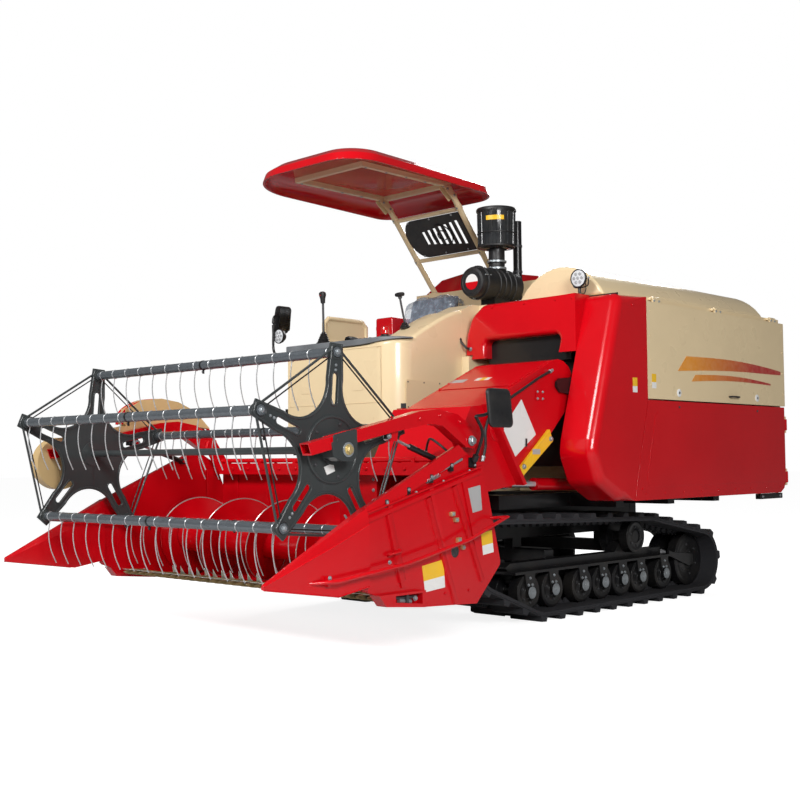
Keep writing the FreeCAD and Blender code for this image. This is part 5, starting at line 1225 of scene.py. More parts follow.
@dataclass
class Undercarriage:
    """Both tracks: beads and guide lugs of the belts, roller caps, discs and frame bolts."""

    wheels: Rows = ((0.12, 0.162, 0.134), (0.525, 0.4, 0.2095), (-1.053, 0.428, 0.135),
                                 (-1.72, 0.235, 0.207))
    rollers: tuple[float, ...] = (0.12, -0.115, -0.425, -0.646, -0.868, -1.087, -1.38)
    roller_z: float = 0.162
    belt: float = 0.027
    y: float = 0.6145
    half: float = 0.2325
    link: float = 0.09
    lug: Rows = ((0.0, 0.026, 0.0095), (0.016, 0.021, 0.0085), (0.03, 0.012, 0.0055))

    def path(self, inset: float, count: int) -> tuple[Array, Array]:
        """Evenly spaced points along the belt, and the way out of it at each.

        The belt is the hull of its wheels. At each heading the furthest point lies on the wheel
        for which centre times heading plus radius is largest.

        Args:
            inset: depth below the belt's outer face.
            count: number of points.

        Returns:
            (count, 2) points and directions.
        """
        heading = circle(1440)
        way, wheels = np.hstack([np.cos(heading), np.sin(heading)]), np.array(self.wheels)
        pick = wheels[(way @ wheels[:, :2].T + wheels[:, 2]).argmax(1)]
        loop = pick[:, :2] + way * (pick[:, 2:] - inset)
        loop = np.vstack([loop, loop[:1]])
        gone = length_along(loop)
        s = np.linspace(0, gone[-1], count, endpoint=False)
        points = np.column_stack([np.interp(s, gone, loop[:, k]) for k in (0, 1)])
        ahead = unit(np.roll(points, -1, 0) - np.roll(points, 1, 0))
        return points, np.column_stack([ahead[:, 1], -ahead[:, 0]])

    def belts(self, side: int) -> None:
        """Edge beads and tapered guide lugs of one belt, apart from those under the sprocket."""
        shape = Shape()
        loop = self.path(0.01, 260)[0]
        for edge in SIDES:
            y = side * self.y + edge * (self.half + 0.001)
            shape.hoop(np.insert(loop, 1, y, axis=1), 0.0045, RUBBER)
        points, out = self.path(self.belt - 0.001, round(7.19 / self.link))
        free = np.linalg.norm(points - self.wheels[1][:2], axis=1) > 0.26
        for p, n in zip(points[free], out[free]):
            a = np.array([-n[1], n[0]])
            for lug in (-0.0345, 0.0345):
                rings = [[np.insert(p - n * depth + a * s * long, 1, side * self.y + lug + t * wide)
                          for s, t in ((-1, -1), (1, -1), (1, 1), (-1, 1))] for depth, long, wide in self.lug]
                shape.sheet(rings, RUBBER, around=True, caps=True)
        shape.build("track_guides_%s" % ("left" if side > 0 else "right"), "chassis")

    def disc(self, shape: Shape, at: Point, r: float, side: int) -> None:
        """Dished outer face of one wheel of radius r, with six bolts."""
        dish = [(0, r - 0.003), (0.003, r - 0.008), (0.003, r * 0.8), (0.0006, r * 0.74), (0.0006, r * 0.42),
                (0.004, r * 0.38)]
        shape.lathe(dish, at, (0, side, 0), BLACK, 40, caps=False)
        shape.bolts(self.bolt_circle(at, r * 0.58, 6, 1 / 3), (0, side, 0), 0.007, CAST)

    @staticmethod
    def bolt_circle(at: Point, radius: float, count: int, phase: float) -> Array:
        """Points round a centre in the side view, the first one phase steps on."""
        t = 2 * pi * (np.arange(count) + phase) / count
        return np.column_stack([at[0] + radius * np.cos(t), np.full(count, at[1]), at[2] + radius * np.sin(t)])

    def build(self) -> None:
        """Dress both sides."""
        for node in ("track_left", "track_right"):
            soften(node, RUBBER, 0.005, 3, angle=28.0)
        gear = Shape()
        cap = mm([(0, 36), (3, 36), (5, 30.96), (2.5, 26.64), (2.5, 8), (6, 6), (6, 1)])
        (x, z, _), (top_x, top_z, _), (rear_x, rear_z, _) = self.wheels[1:]
        for s in SIDES:
            self.belts(s)
            out, deep = (0, s, 0), lambda depth: s * (self.y + depth)
            for at in self.rollers:
                self.disc(gear, (at, deep(0.115), self.roller_z), 0.1067, s)
                gear.lathe(cap, (at, deep(0.142), self.roller_z), out, ZINC, 28)
                ears = [(at + dx, deep(0.13), self.roller_z + dz) for dx, dz in mm([(-18, 45), (18, 45), (0, 85)])]
                gear.bolts(ears, out, 0.007)
            self.disc(gear, (rear_x, deep(0.11), rear_z), 0.1797, s)
            self.disc(gear, (top_x, deep(0.11), top_z), 0.1077, s)
            gear.bolts(self.bolt_circle((x, deep(0.07), z), 0.05, 7, 0.5), out, 0.009)
            gear.bolts(self.bolt_circle((x, deep(0.024), z), 0.105, 7, 0.5), out, 0.01)
            gear.tube([(-1.47, deep(0), 0.3), (-1.65, deep(0), 0.258)], 0.026, CHROME, 20)
        gear.build("wheel_faces_and_bolts", "chassis", angle=40.0)


# ---- left side ----------------------------------------------------------------------------------

@dataclass
class SideDoors:
    """Left side: doors, latches, stripes and blank plates, and the column in front of them."""

    face: float = 1.12
    stripes: Rows = ((-0.96, -2.4, 1.552, 0.1), (-1.13, -2.24, 1.464, 0.046))
    door: Rows = ((-560, 770), (-2380, 770), (-2430, 840), (-2430, 1235), (-690, 1235))
    column: Rows = (
        (-290, 690, 140), (-79, 797, 120), (7, 975, 120), (-9, 1063, 120), (-290, 1945, 70), (-600, 1945, 2),
        (-600, 1310, 2), (-430, 690, 2))
    hood: Rows = ((64, 1600, 2), (172, 1600, 2), (172, 1715, 34), (760, 1715, 34), (760, 1600, 2),
                  (886, 1600, 2), (886, 1953, 2), (157, 1953, 90), (60, 1880, 100), (8, 1760, 120),
                  (4, 1624, 20), (64, 1624, 2))
    hood_handle: Rows = ((-174, 50, 1672), (-145, 46, 1674), (-140, 20, 1700), (-140, -4, 1728))

    def stripe(self, shape: Shape, front: float, rear: float, z: float, tall: float) -> None:
        """Slanted band whose height dies away towards the rear as the root of the way left.

        Args:
            shape: where it is added.
            front: where it starts.
            rear: where it ends.
            z: height of its middle.
            tall: its height in front.
        """
        t = np.linspace(0, 1, 24)
        x, rise, height = front + (rear - front) * t, 0.018 * np.sin(pi * t), tall * np.sqrt(1.0 - 0.94 * t)
        upper = np.column_stack([x - 1.1 * tall * (1 - t), z + rise + height / 2])
        lower = np.column_stack([x, z + rise - height / 2])
        shape.slab(np.vstack([upper, lower[::-1]]), self.face, self.face + 0.0012, "y", FLASH)

    def plate(self, shape: Shape, x: float, z: float) -> None:
        """Blank notice of 50 mm by 90 mm round a middle."""
        notice(shape, mm([(25, 45), (-25, 45), (-25, -45), (25, -45)]) + (x, z), self.face)

    def upper(self) -> None:
        """Upper door's bands, latches, handle, plate, hinges and edge bolts."""
        f, door = self.face, Shape()
        for band in self.stripes:
            self.stripe(door, *band)
        for at in ((-0.97, f, 1.361), (-2.029, f, 1.361)):
            door.lathe(mm([(0, 26), (3, 26), (5, 22), (5, 2)]), at, LEFT, WHITE, 28)
            door.lathe(mm([(5, 9), (6, 8), (6, 1)]), at, LEFT, CAST, 16)
        grip = [(-1.735, f, 1.358), (-1.73, f + 0.022, 1.358), (-1.632, f + 0.022, 1.358), (-1.627, f, 1.358)]
        door.bend(grip, 6, 0.006, PLASTIC)
        self.plate(door, -0.673, 1.425)
        door.bolts(spots([x + dx for x in (-2.3, -1.5, -0.72) for dx in (-0.028, 0.028)], f, 1.929), LEFT, 0.006)
        for x in (-2.43, -0.64):
            door.bolts(spots(x, f, np.linspace(1.4, 1.86, 4)), LEFT, 0.005, CREAM)
        door.build("upper_door_fittings", "upper_side_door", 0.0006)

    def lower(self) -> None:
        """Lower door's plates, bolts and raised panel."""
        f, door = self.face, Shape()
        self.plate(door, -0.708, 1.102)
        self.plate(door, -1.886, 1.156)
        door.bolts(spots((-0.97, -2.029), f, 1.27), LEFT, 0.006, CAST)
        door.bolts(spots(np.linspace(-0.56, -2.36, 9), f, 0.73), LEFT, 0.005, RED)
        door.slab(rounded(mm(self.door), 0.05, 8), f, f + 0.0016, "y", RED)
        door.build("lower_door_fittings", "lower_side_door", 0.001)

    def covers(self) -> None:
        """Corner column and front hood with their rolled edges."""
        x, z, radius = mm(self.column).T
        outline = rounded(np.column_stack([x, z]), radius, 8)
        rear = np.interp(outline[:, 1], (0.69, 1.31), (-0.43, -0.6))
        weight = np.clip((outline[:, 0] - rear) / 0.1, 0.0, 1.0)
        Shape().rim_shell(outline, weight, "y", (0.886, 1.12), 0.062, RED).stand_in("column_cover", 50.0)
        y, z, radius = mm(self.hood).T
        outline = rounded(np.column_stack([y, z]), radius, 8)
        weight = np.clip((outline[:, 1] - 1.61) / 0.05, 0.0, 1.0) * np.clip((0.884 - outline[:, 0]) / 0.02, 0.0, 1.0)
        Shape().rim_shell(outline, weight, "x", (-0.33, -0.175), 0.034, RED).stand_in("front_hood", 50.0)

    def fittings(self) -> None:
        """Column, hood and sill fittings."""
        f, shape = self.face, Shape()
        self.plate(shape, -0.456, 1.392)
        shape.bolts([(-0.52, f, 0.76), (-0.56, f, 1.18), (-0.575, f, 1.62), (-0.44, f, 1.88)], LEFT, 0.006, RED)
        # Black plate inside the hood, behind its slot: painted shade, a dark sheet that stands for the shaded inside
        # of the slot.
        shape.block((-0.262, 0.15, 1.56), (-0.25, 0.8, 1.725), BLACK)
        shape.bend(mm(self.hood_handle), 6, 0.008, PLASTIC, 12)
        knob = mm([(0, 4), (2, 12), (28, 15), (36, 10), (37, 2)])
        shape.lathe(knob, (-0.14, -0.002, 1.726), (0.0, -0.6, 0.8), PLASTIC, 18)
        shape.bolt((-0.173, 0.056, 1.668), AHEAD, 0.01)
        shape.bolts(spots(-0.1745, (0.24, 0.5, 0.74, 0.86), 1.925), AHEAD, 0.006, RED)
        shape.block((-2.479, 1.04, 0.646), (-2.131, 1.076, 0.684), BLACK, 0.006)
        shape.blocks(spots((-2.44, -2.17), 0, 0), (-0.02, 1.046, 0.684), (0.02, 1.054, 0.76), BLACK)
        shape.bolts(spots((-2.44, -2.17), 1.076, 0.665), LEFT, 0.008)
        brackets = np.linspace(-2.38, -0.42, 6)
        shape.blocks(spots(brackets, 0, 0), (-0.012, 0.345, 1.95), (0.012, 0.365, 1.99), CREAM, 0.003)
        shape.bolts(spots(brackets, 0.376, 1.994), (0, -0.8, 0.6), 0.006)
        shape.build("column_fittings", "chassis", 0.001)

    def build(self) -> None:
        """Dress the left side."""
        soften("upper_side_door", CREAM, 0.005, 3)
        soften("lower_side_door", RED, 0.006, 3)
        self.covers()
        soften("top_arch_cover", CREAM, 0.02, 4)
        self.upper()
        self.lower()
        self.fittings()


# ---- feeder -------------------------------------------------------------------------------------

def hose(name: str, body: str, points: Array, size: float, sides: int) -> tuple[bpy.types.Object, Array]:
    """Hose along a smooth curve.

    Args:
        name: the piece's name.
        body: the body it rides on.
        points: (n, 3) points that it passes.
        size: its diameter.
        sides: sides of its circle.

    Returns:
        The piece and its path.
    """
    path = smooth_path(points, 8)
    return Shape().tube(path, size / 2, HOSE, sides).build(name, body), path


@dataclass
class Feeder:
    """Inclined feeder housing: folded seams, access cover, flange bolts, prop and hoses."""

    low: tuple[float, float] = (0.422, 1.359)
    high: tuple[float, float] = (0.029, 1.5315)
    left: float = 0.86
    patches: tuple[tuple[float | Finish, ...], ...] = (
        (0.05, 0.88, 0.3, 0.83, 0.0022, RED), (0.3, 0.42, 0.288, 0.4, 0.0032, GREY_PLATE),
        (0.34, 0.44, 0.47, 0.58, 0.0032, WHITE), (0.34, 0.44, 0.51, 0.548, 0.004, YELLOW))
    routes: tuple[tuple[str, int, Rows], ...] = (("feeder_edge_hose", 16,
                                                  ((50, 872, 1470), (180, 873, 1420), (330, 873, 1350),
                                                   (480, 873, 1280), (610, 876, 1215), (690, 890, 1120),
                                                   (700, 894, 1020), (720, 890, 945))),
                                                 ("header_hose_upper", 13,
                                                  ((975, 960, 975), (1030, 1000, 1010), (1075, 1010, 1090),
                                                   (1050, 1012, 1150), (990, 990, 1120), (960, 940, 1040),
                                                   (930, 900, 965))), ("header_hose_lower", 13,
                                                                       ((1012, 930, 965), (1045, 880, 1020),
                                                                        (1040, 800, 1060), (1000, 740, 1040),
                                                                        (975, 700, 980))))

    def top(self, along: float, y: float, lift: float = 0.0) -> Point:
        """Point on the upper face, a share of the way up the slope, lifted off it."""
        dx, dz = self.high[0] - self.low[0], self.high[1] - self.low[1]
        length = (dx ** 2 + dz ** 2) ** 0.5
        return self.low[0] + along * dx + lift * dz / length, y, self.low[1] + along * dz - lift * dx / length

    def build(self) -> None:
        """Dress the feeder."""
        soften("feeder_house", RED, 0.006, 3)
        soften("lift_prop", YELLOW, 0.003)
        f, shape = self.left, Shape()
        for a, b, y0, y1, thick, finish in self.patches:
            rings = [[self.top(t, y, h) for t, y in ((a, y0), (a, y1), (b, y1), (b, y0))] for h in (0.0, thick)]
            shape.sheet(rings, finish, around=True, caps=True)
        normal = (self.high[1] - self.low[1], 0.0, self.low[0] - self.high[0])
        for y, seam in ((0.286, 0.298), (0.846, 0.834)):
            shape.bolts([self.top(t, y) for t in np.linspace(0.08, 0.92, 5)], normal, 0.006, RED)
            shape.tube([self.top(t, seam, 0.001) for t in (0.02, 0.98)], 0.003, RED, 8)
        plate = rounded(mm([(510, 1118), (332, 1292), (200, 1090), (410, 952)]), 0.006)
        shape.slab(plate, f, f + 0.0014, "y", WHITE)
        for line in (((600, 1235), (430, 1312), (110, 1450)), ((370, 840), (50, 1060))):
            shape.tube(np.insert(mm(line), 1, f + 0.001, axis=1), 0.004, RED, 8)
        t = np.linspace(0.04, 0.96, 9)[:, None]
        shape.bolts(np.array([0.645, f, 1.215]) - t * (0.3, 0, 0.375), LEFT, 0.008, BRASS)
        shape.block((0.12, f, 1.29), (0.2, f + 0.006, 1.35), RED, 0.008)
        shape.block((0.296, f + 0.006, 1.02), (0.306, f + 0.012, 1.066), BLACK)
        shape.bolts(spots((0.135, 0.185), f + 0.006, (1.3, 1.34)), LEFT, 0.006)
        boss = mm([(0, 60), (6, 60), (8, 54), (8, 30), (18, 28), (18, 2)])
        shape.lathe(boss, (0.56, f, 1.11), LEFT, RED, 32)
        shape.bolts([(0.56, f + 0.018, 1.11), (0.345, 0.882, 0.905), (0.085, 0.882, 1.065)], LEFT, 0.012)
        shape.block((0.19, 0.8822, 0.975), (0.262, 0.8832, 1.005), GREY_PLATE)
        shape.build("feeder_fittings", "header", 0.0008)
        self.hoses()

    def hoses(self) -> None:
        """Hydraulic hose along the upper left edge and the pair that drops to the header."""
        for name, diameter, points in self.routes:
            size = diameter / 1000
            piece, path = hose(name, "header", mm(points), size, 12)
            ends, nut = Shape(), [(-0.006, 0.004), (-0.006, size * 0.62), (0.012, size * 0.62), (0.014, size * 0.75),
                                  (0.022, size * 0.75), (0.024, size * 0.55)]
            for end, inner in ((path[0], path[1]), (path[-1], path[-2])):
                ends.lathe(nut, end, inner - end, ZINC, 12)
            fitting = ends.build(name + "_fittings", "header")


# ---- operator's station -------------------------------------------------------------------------

@dataclass
class Station:
    """Front panel, console, dash strip, levers, pedals, platform tread and guard."""

    strip: float = 1.72
    front: float = 0.485
    gear: tuple[float, float] = (0.436, -0.7)
    steer: Point = (0.18, -0.2, 1.808)
    stop: Point = (0.395, -0.17, 1.72)

    def levers(self) -> None:
        """Speed lever with its bellows, T lever and the red knob."""
        (gx, gy), (x, y, z), top = self.gear, self.steer, self.strip
        ripple = [(0.0, 0.048), (0.004, 0.05)]
        for k in range(6):
            ripple += [(0.008 + 0.011 * k, 0.046 - 0.0045 * k), (0.0135 + 0.011 * k, 0.038 - 0.0045 * k)]
        shape = Shape().lathe(ripple + [(0.078, 0.012), (0.08, 0.008)], (gx, gy, top), UP, PLASTIC, 32)
        shape.tube([(gx, gy, top + 0.07), (gx + 0.005, gy, 2.0)], 0.0075, CAST, 14)
        grip = mm([(0, 10), (3, 15), (30, 17), (56, 24), (70, 23), (78, 14), (80, 2)])
        shape.lathe(grip, (0.441, gy, 1.988), (0.06, 0, 1), PLASTIC, 24)
        shape.lathe(mm([(0, 9), (4, 9), (5, 7), (5, 1)]), (0.462, gy, 2.045), (1, 0, 0.1), RED, 16)
        boot = mm([(-4, 30), (6, 34), (12, 26), (18, 28), (24, 18), (30, 20), (36, 10)])
        shape.lathe(boot, (x, y, z - 0.004), (0.2, 0, 1), PLASTIC, 28)
        shape.tube([(x, y, z + 0.02), (x + 0.048, y, 2.006)], 0.0068, CAST, 14)
        bar = mm([(0, 6), (4, 11), (20, 14.5), (52, 14.5), (70, 12.5), (74, 4)])
        shape.lathe(bar, (x + 0.048, y - 0.037, 2.016), LEFT, PLASTIC, 20)
        shape.lathe(mm([(0, 10), (4, 14), (24, 10)]), (x + 0.042, y, 1.99), (0.2, 0, 1), PLASTIC, 16)
        shape.lathe(mm([(0, 30), (12, 30), (14, 26), (22, 26)]), self.stop, UP, PLASTIC, 28)
        knob = mm([(22, 22), (24, 25.5), (58, 26.5), (70, 22), (75, 10), (75, 2)])
        shape.lathe(knob, self.stop, UP, LAMP_RED).stand_in("levers")

    @staticmethod
    def plan_path(front: float, left: float, right: float, rear: float, radius: float) -> Array:
        """Plan line along the front, round the left corner and back along the console.

        Args:
            front: where the front runs.
            left: where the console runs.
            right: where the line starts.
            rear: where it ends.
            radius: radius of the corner.

        Returns:
            (n, 2) points.
        """
        t = np.linspace(0, pi / 2, 16)[1:-1]
        arc = np.column_stack([front - radius + radius * np.cos(t), left - radius + radius * np.sin(t)])
        ahead = np.column_stack([np.full(24, front), np.linspace(right, left - radius, 24)])
        side = np.column_stack([np.linspace(front - radius, rear, 40), np.full(40, left)])
        return np.vstack([ahead, arc, side])

    def skin(self) -> None:
        """Front panel and console in one skin, under a strip that thins out round the corner."""
        outer = self.plan_path(self.front, 0.0, -1.005, -0.15, 0.16)
        rise = [(-150, 1930), (-87, 1916), (20, 1876), (125, 1826), (230, 1772), (290, 1738), (330, 1706)]
        curve = smooth_path(mm(rise), 8)
        x, thin = outer[:, 0], np.clip((outer[:, 1] + 0.4) / 0.4, 0, 1) ** 2
        high = np.where(x < 0.33, np.interp(x, curve[:, 0], curve[:, 1]), 1.68 + 0.026 * thin + 0.001)
        low = np.interp(x, (0.24, 0.4), (1.3, 1.15))
        panel = Shape().ribbon(outer, np.minimum(outer, (0.445, -0.24)), low, high, 0.028, CREAM)
        panel.stand_in("front_fairing", 50.0)
        outer = self.plan_path(0.493, 0.005, -1.013, 0.32, 0.165)
        inner = np.minimum(outer - (0.02, 0.0), (0.385, -0.1))
        low = 1.68 + 0.03 * np.clip((outer[:, 1] + 0.4) / 0.4, 0, 1) ** 2
        band = Shape().ribbon(outer, inner, low, np.full(len(outer), self.strip), 0.009, GREY)
        band.stand_in("dash_strip", 50.0)

    def panel(self) -> None:
        """Front panel: access door, lamp clusters, seams, the strip's vents, gauge and switches."""
        shape, top = Shape(), self.strip
        shape.slab(rounded(mm([(60, 1262), (385, 1262), (385, 1450), (60, 1450)]), 0.01), 0.0, 0.0022, "y", CREAM)
        shape.bolts(spots((0.075, 0.37, 0.2225), 0.0022, (1.277, 1.435)), LEFT, 0.004, CAST)
        shape.blocks(spots(self.front, (-0.33, -0.82), 1.39), (0, -0.05, 0), (0.0022, 0.05, 0.05), CREAM, 0.012)
        fold = mm([(486, -120, 1310), (486, -120, 1660), (486, -985, 1660), (486, -985, 1310), (486, -120, 1310)])
        shape.tube(fold, 0.0022, CREAM, 6, up=(1, 0.01, 0.01))
        for x, z in ((0.475, 1.18), (0.485, 1.655)):
            shape.bolts(spots(x, (-0.15, -0.56, -0.975), z), AHEAD, 0.005, CREAM)
        vents = spots(0.41, -0.61 + 0.03 * np.arange(9), top)
        shape.blocks(vents, (0, -0.009, 0), (0.06, 0.009, 0.0025), PLASTIC, 0.004)
        gauge, way = (0.402, -0.455, top - 0.002), (-0.35, 0, 1)
        shape.lathe(mm([(0, 56), (12, 56), (16, 50), (12, 46)]), gauge, way, PLASTIC)
        shape.lathe(mm([(10, 46), (11.5, 1)]), gauge, way, LENS)
        for y in (-0.3, -0.345, -0.39):
            shape.lathe(mm([(0, 12), (10, 12), (14, 9), (14, 1)]), (0.4, y, top), UP, PLASTIC, 18)
        shape.build("front_panel_fittings", "chassis", 0.0005)

    def floor(self) -> None:
        """Ribbed mat, step treads, pedals and the guard's bolts."""
        shape = Shape()
        shape.blocks(spots(0, -1.03 + 0.06 * np.arange(13), 0), (-0.12, 0, 1.3), (0.43, 0.03, 1.304), RUBBER, 0.004)
        shape.blocks(spots(0.075 + 0.034 * np.arange(8), 0, 0), (0, -1.112, 1.01), (0.012, -1.086, 1.015), CAST)
        for y in (-0.42, -0.56):
            shape.bend([(0.44, y, 1.38), (0.4, y, 1.42), (0.34, y, 1.4)], 6, 0.008, CAST)
            shape.block((0.315, y - 0.032, 1.372), (0.33, y + 0.032, 1.44), RUBBER, 0.006)
        for x, z in ((0.1, 1.3), (-0.31, 1.62)):
            shape.lathe(mm([(0, 30), (6, 30), (8, 17)]), (x, -1.06, z), UP, CREAM, 20)
        shape.bolts(spots((0.06, -0.27), -1.064, (1.815, 1.925)), RIGHT, 0.005)
        shape.build("floor_fittings", "chassis", 0.0008)

    def build(self) -> None:
        """Dress the station."""
        self.skin()
        self.levers()
        self.panel()
        self.floor()


@dataclass
class Seat:
    """Sprung seat under a loose wrapping film."""

    middle: float = -0.65
    half: float = 0.225
    seed: int = 7
    spine: Rows = ((-652, 1800), (-672, 1950), (-662, 2108), (-612, 2124), (-555, 2105), (-520, 2000),
                                          (-455, 1880), (-300, 1826), (-160, 1816), (-62, 1790), (-50, 1730))
    base: Rows = ((-575, 1752), (-480, 1756), (-330, 1757), (-180, 1757), (-90, 1745))
    back: Rows = ((-555, 1790), (-572, 1880), (-598, 1990), (-622, 2110))

    def cushion(self, name: str, path: Array, thick: float, crown: float) -> None:
        """Crowned closed pad along a side path.

        Each cross-section is a flattened ring: its half height is the pad's thickness times
        (1 - |t|^n)^(1/m) across the width, with a soft crease either side of the middle panel.

        Args:
            name: the piece's name.
            path: (n, 2) points along its middle.
            thick: half its thickness.
            crown: how far its middle rises, as a share of that.
        """
        t = np.linspace(-1, 1, 41)
        full = (1 - np.abs(t) ** 4.5) ** 0.42
        crease = 1 - 0.16 * np.exp(-((np.abs(t) - 0.52) / 0.045) ** 2)
        ahead = unit(np.gradient(path, axis=0))
        normal = np.column_stack([-ahead[:, 1], ahead[:, 0]])[:, None]
        ends = (np.sin(np.linspace(0.04, pi - 0.04, len(path))) ** 0.22)[:, None]
        across = self.middle + self.half * t * (0.94 + 0.06 * ends)
        top = path[:, None] + normal * (thick * ends * full * crease * (1 + crown * (1 - t ** 2)))[..., None]
        low = path[:, None] - normal * (thick * ends * full * 0.75)[..., None]
        top, low = (np.stack([flat[..., 0], across, flat[..., 1]], -1) for flat in (top, low))
        shape = Shape().sheet(np.concatenate([top, low[:, -2:0:-1]], axis=1), VINYL, around=True, caps=True)
        shape.build(name, "chassis", angle=75.0)

    def film(self) -> None:
        """Film over the back and down to the cushion, creased at random from a fixed seed."""
        rng = np.random.default_rng(self.seed)
        spine = smooth_path(mm(self.spine), 8)
        gone = length_along(spine)
        s, v = np.linspace(0, gone[-1], 54)[:, None], np.linspace(-1, 1, 46)[None]
        x, z = (np.interp(s, gone, spine[:, k]) for k in (0, 1))
        wave = sum(a * np.sin(f * s / gone[-1] * pi + g * v * pi + p) for a, f, g,
                   p in zip(0.005 / np.arange(1, 9) ** 0.6, rng.uniform(2, 16, 8), rng.uniform(-7, 7, 8),
                            rng.uniform(0, 6, 8)))
        side = np.abs(v) ** 3
        y = np.broadcast_to(self.middle + (self.half + 0.012) * np.sin(v * pi / 2), wave.shape)
        grid = np.stack([x - 0.01 * side + wave * 0.6, y, z - 0.085 * side * (1 + 0.35 * np.sin(5 * s + 2))
                         + wave], -1)
        piece = Shape().sheet(grid, FILM).build("seat_film", "chassis", angle=180.0)

    def build(self) -> None:
        """Make the seat."""
        self.cushion("seat_base_pad", smooth_path(mm(self.base), 8), 0.046, 0.1)
        self.cushion("seat_back_pad", smooth_path(mm(self.back), 8)[::-1], 0.038, 0.16)
        shape = Shape().block((-0.56, -0.83, 1.622), (-0.2, -0.47, 1.64), CAST, 0.02)
        folds = [(0, 150), *[(6 + 10 * k, 165 - 12 * (k % 2)) for k in range(6)], (66, 150)]
        shape.lathe(mm(folds), (-0.38, -0.65, 1.638), UP, PLASTIC, 4)
        for y in (-0.845, -0.455):
            shape.bend([(-0.58, y, 1.72), (-0.59, y, 1.8), (-0.64, y, 1.96), (-0.65, y, 2.02)], 5, 0.01, BLACK)
        shape.block((-0.585, -0.862, 1.69), (-0.085, -0.438, 1.706), BLACK, 0.03)
        shape.build("seat_frame", "chassis", 0.002, stands_for=("seat",))
        self.film()


# ---- canopy, lamps and mirrors ------------------------------------------------------------------

@dataclass
class Canopy:
    """Roof, its tube frame and the slotted plate between the posts."""

    frame_x: tuple[float, float] = (-0.385, 0.478)
    posts: tuple[float, float] = (-0.918, -0.3)
    under: float = 2.862
    tube: float = 0.032
    rake: Point = (0.65, 0.0, 0.76)
    out: Point = (0.76, 0.0, -0.65)

    def on_post(self, z: float) -> float:
        """X of the raked posts at a height."""
        return -0.921 + (z - 2.2) * (-0.365 + 0.921) / (self.under - 0.014 - 2.2)

    def build(self) -> None:
        """Dress the canopy."""
        soften("canopy_roof", RED, 0.004, 3, angle=40.0)
        soften("canopy_frame", CREAM, 0.004, 3, angle=50.0)
        soften("slotted_plate", PLASTIC, 0.0015)
        shape, x = Shape(), self.on_post(2.78)
        gusset = rounded([(x - 0.02, 2.78), (x + 0.055, 2.83), (x + 0.13, 2.83), (x + 0.1, 2.8),
                          (x + 0.02, 2.74)], 0.008)
        for y in self.posts:
            beam = np.linspace(self.frame_x[0] + 0.06, self.frame_x[1] - 0.05, 5)
            shape.bolts(spots(beam, y, self.under - self.tube), DOWN, 0.007)
            for s in SIDES:
                face = y + s * 0.0245
                shape.slab(gusset, y + s * 0.0205, face, "y", CREAM)
                shape.bolts([(x + 0.015, face, 2.778), (x + 0.085, face, 2.814)], (0, s, 0), 0.007)
            for height in (2.43, 2.711):
                p = self.on_post(height)
                sleeve = mm([(-20, 20.5), (-18, 24), (18, 24), (20, 20.5)])
                shape.lathe(sleeve, (p, y, height), self.rake, CREAM, 24)
                shape.bolt((p + 0.02, y, height - 0.012), self.out, 0.006)
            shape.bolts(spots((-0.949, -0.901), (y - 0.026, y + 0.026), 2.21), UP, 0.006)
        for height in (2.456, 2.674):
            across = [self.posts[0] + t * (self.posts[1] - self.posts[0]) for t in (0.16, 0.5, 0.84)]
            shape.bolts(spots(self.on_post(height) + 0.005, across, height), self.out, 0.006)
        shape.build("canopy_fittings", "chassis", 0.0006)
        plate, t = Shape(), circle(36)
        for radius in (0.04, 0.088):
            ring = (self.on_post(2.565) + 0.005, -0.56, 2.565) + radius * (np.cos(t) * LEFT + np.sin(t) * self.rake)
            plate.hoop(ring + 0.004 * np.array(self.out), 0.004, PLASTIC, up=self.out)
        plate.build("slotted_plate_rings", "chassis")


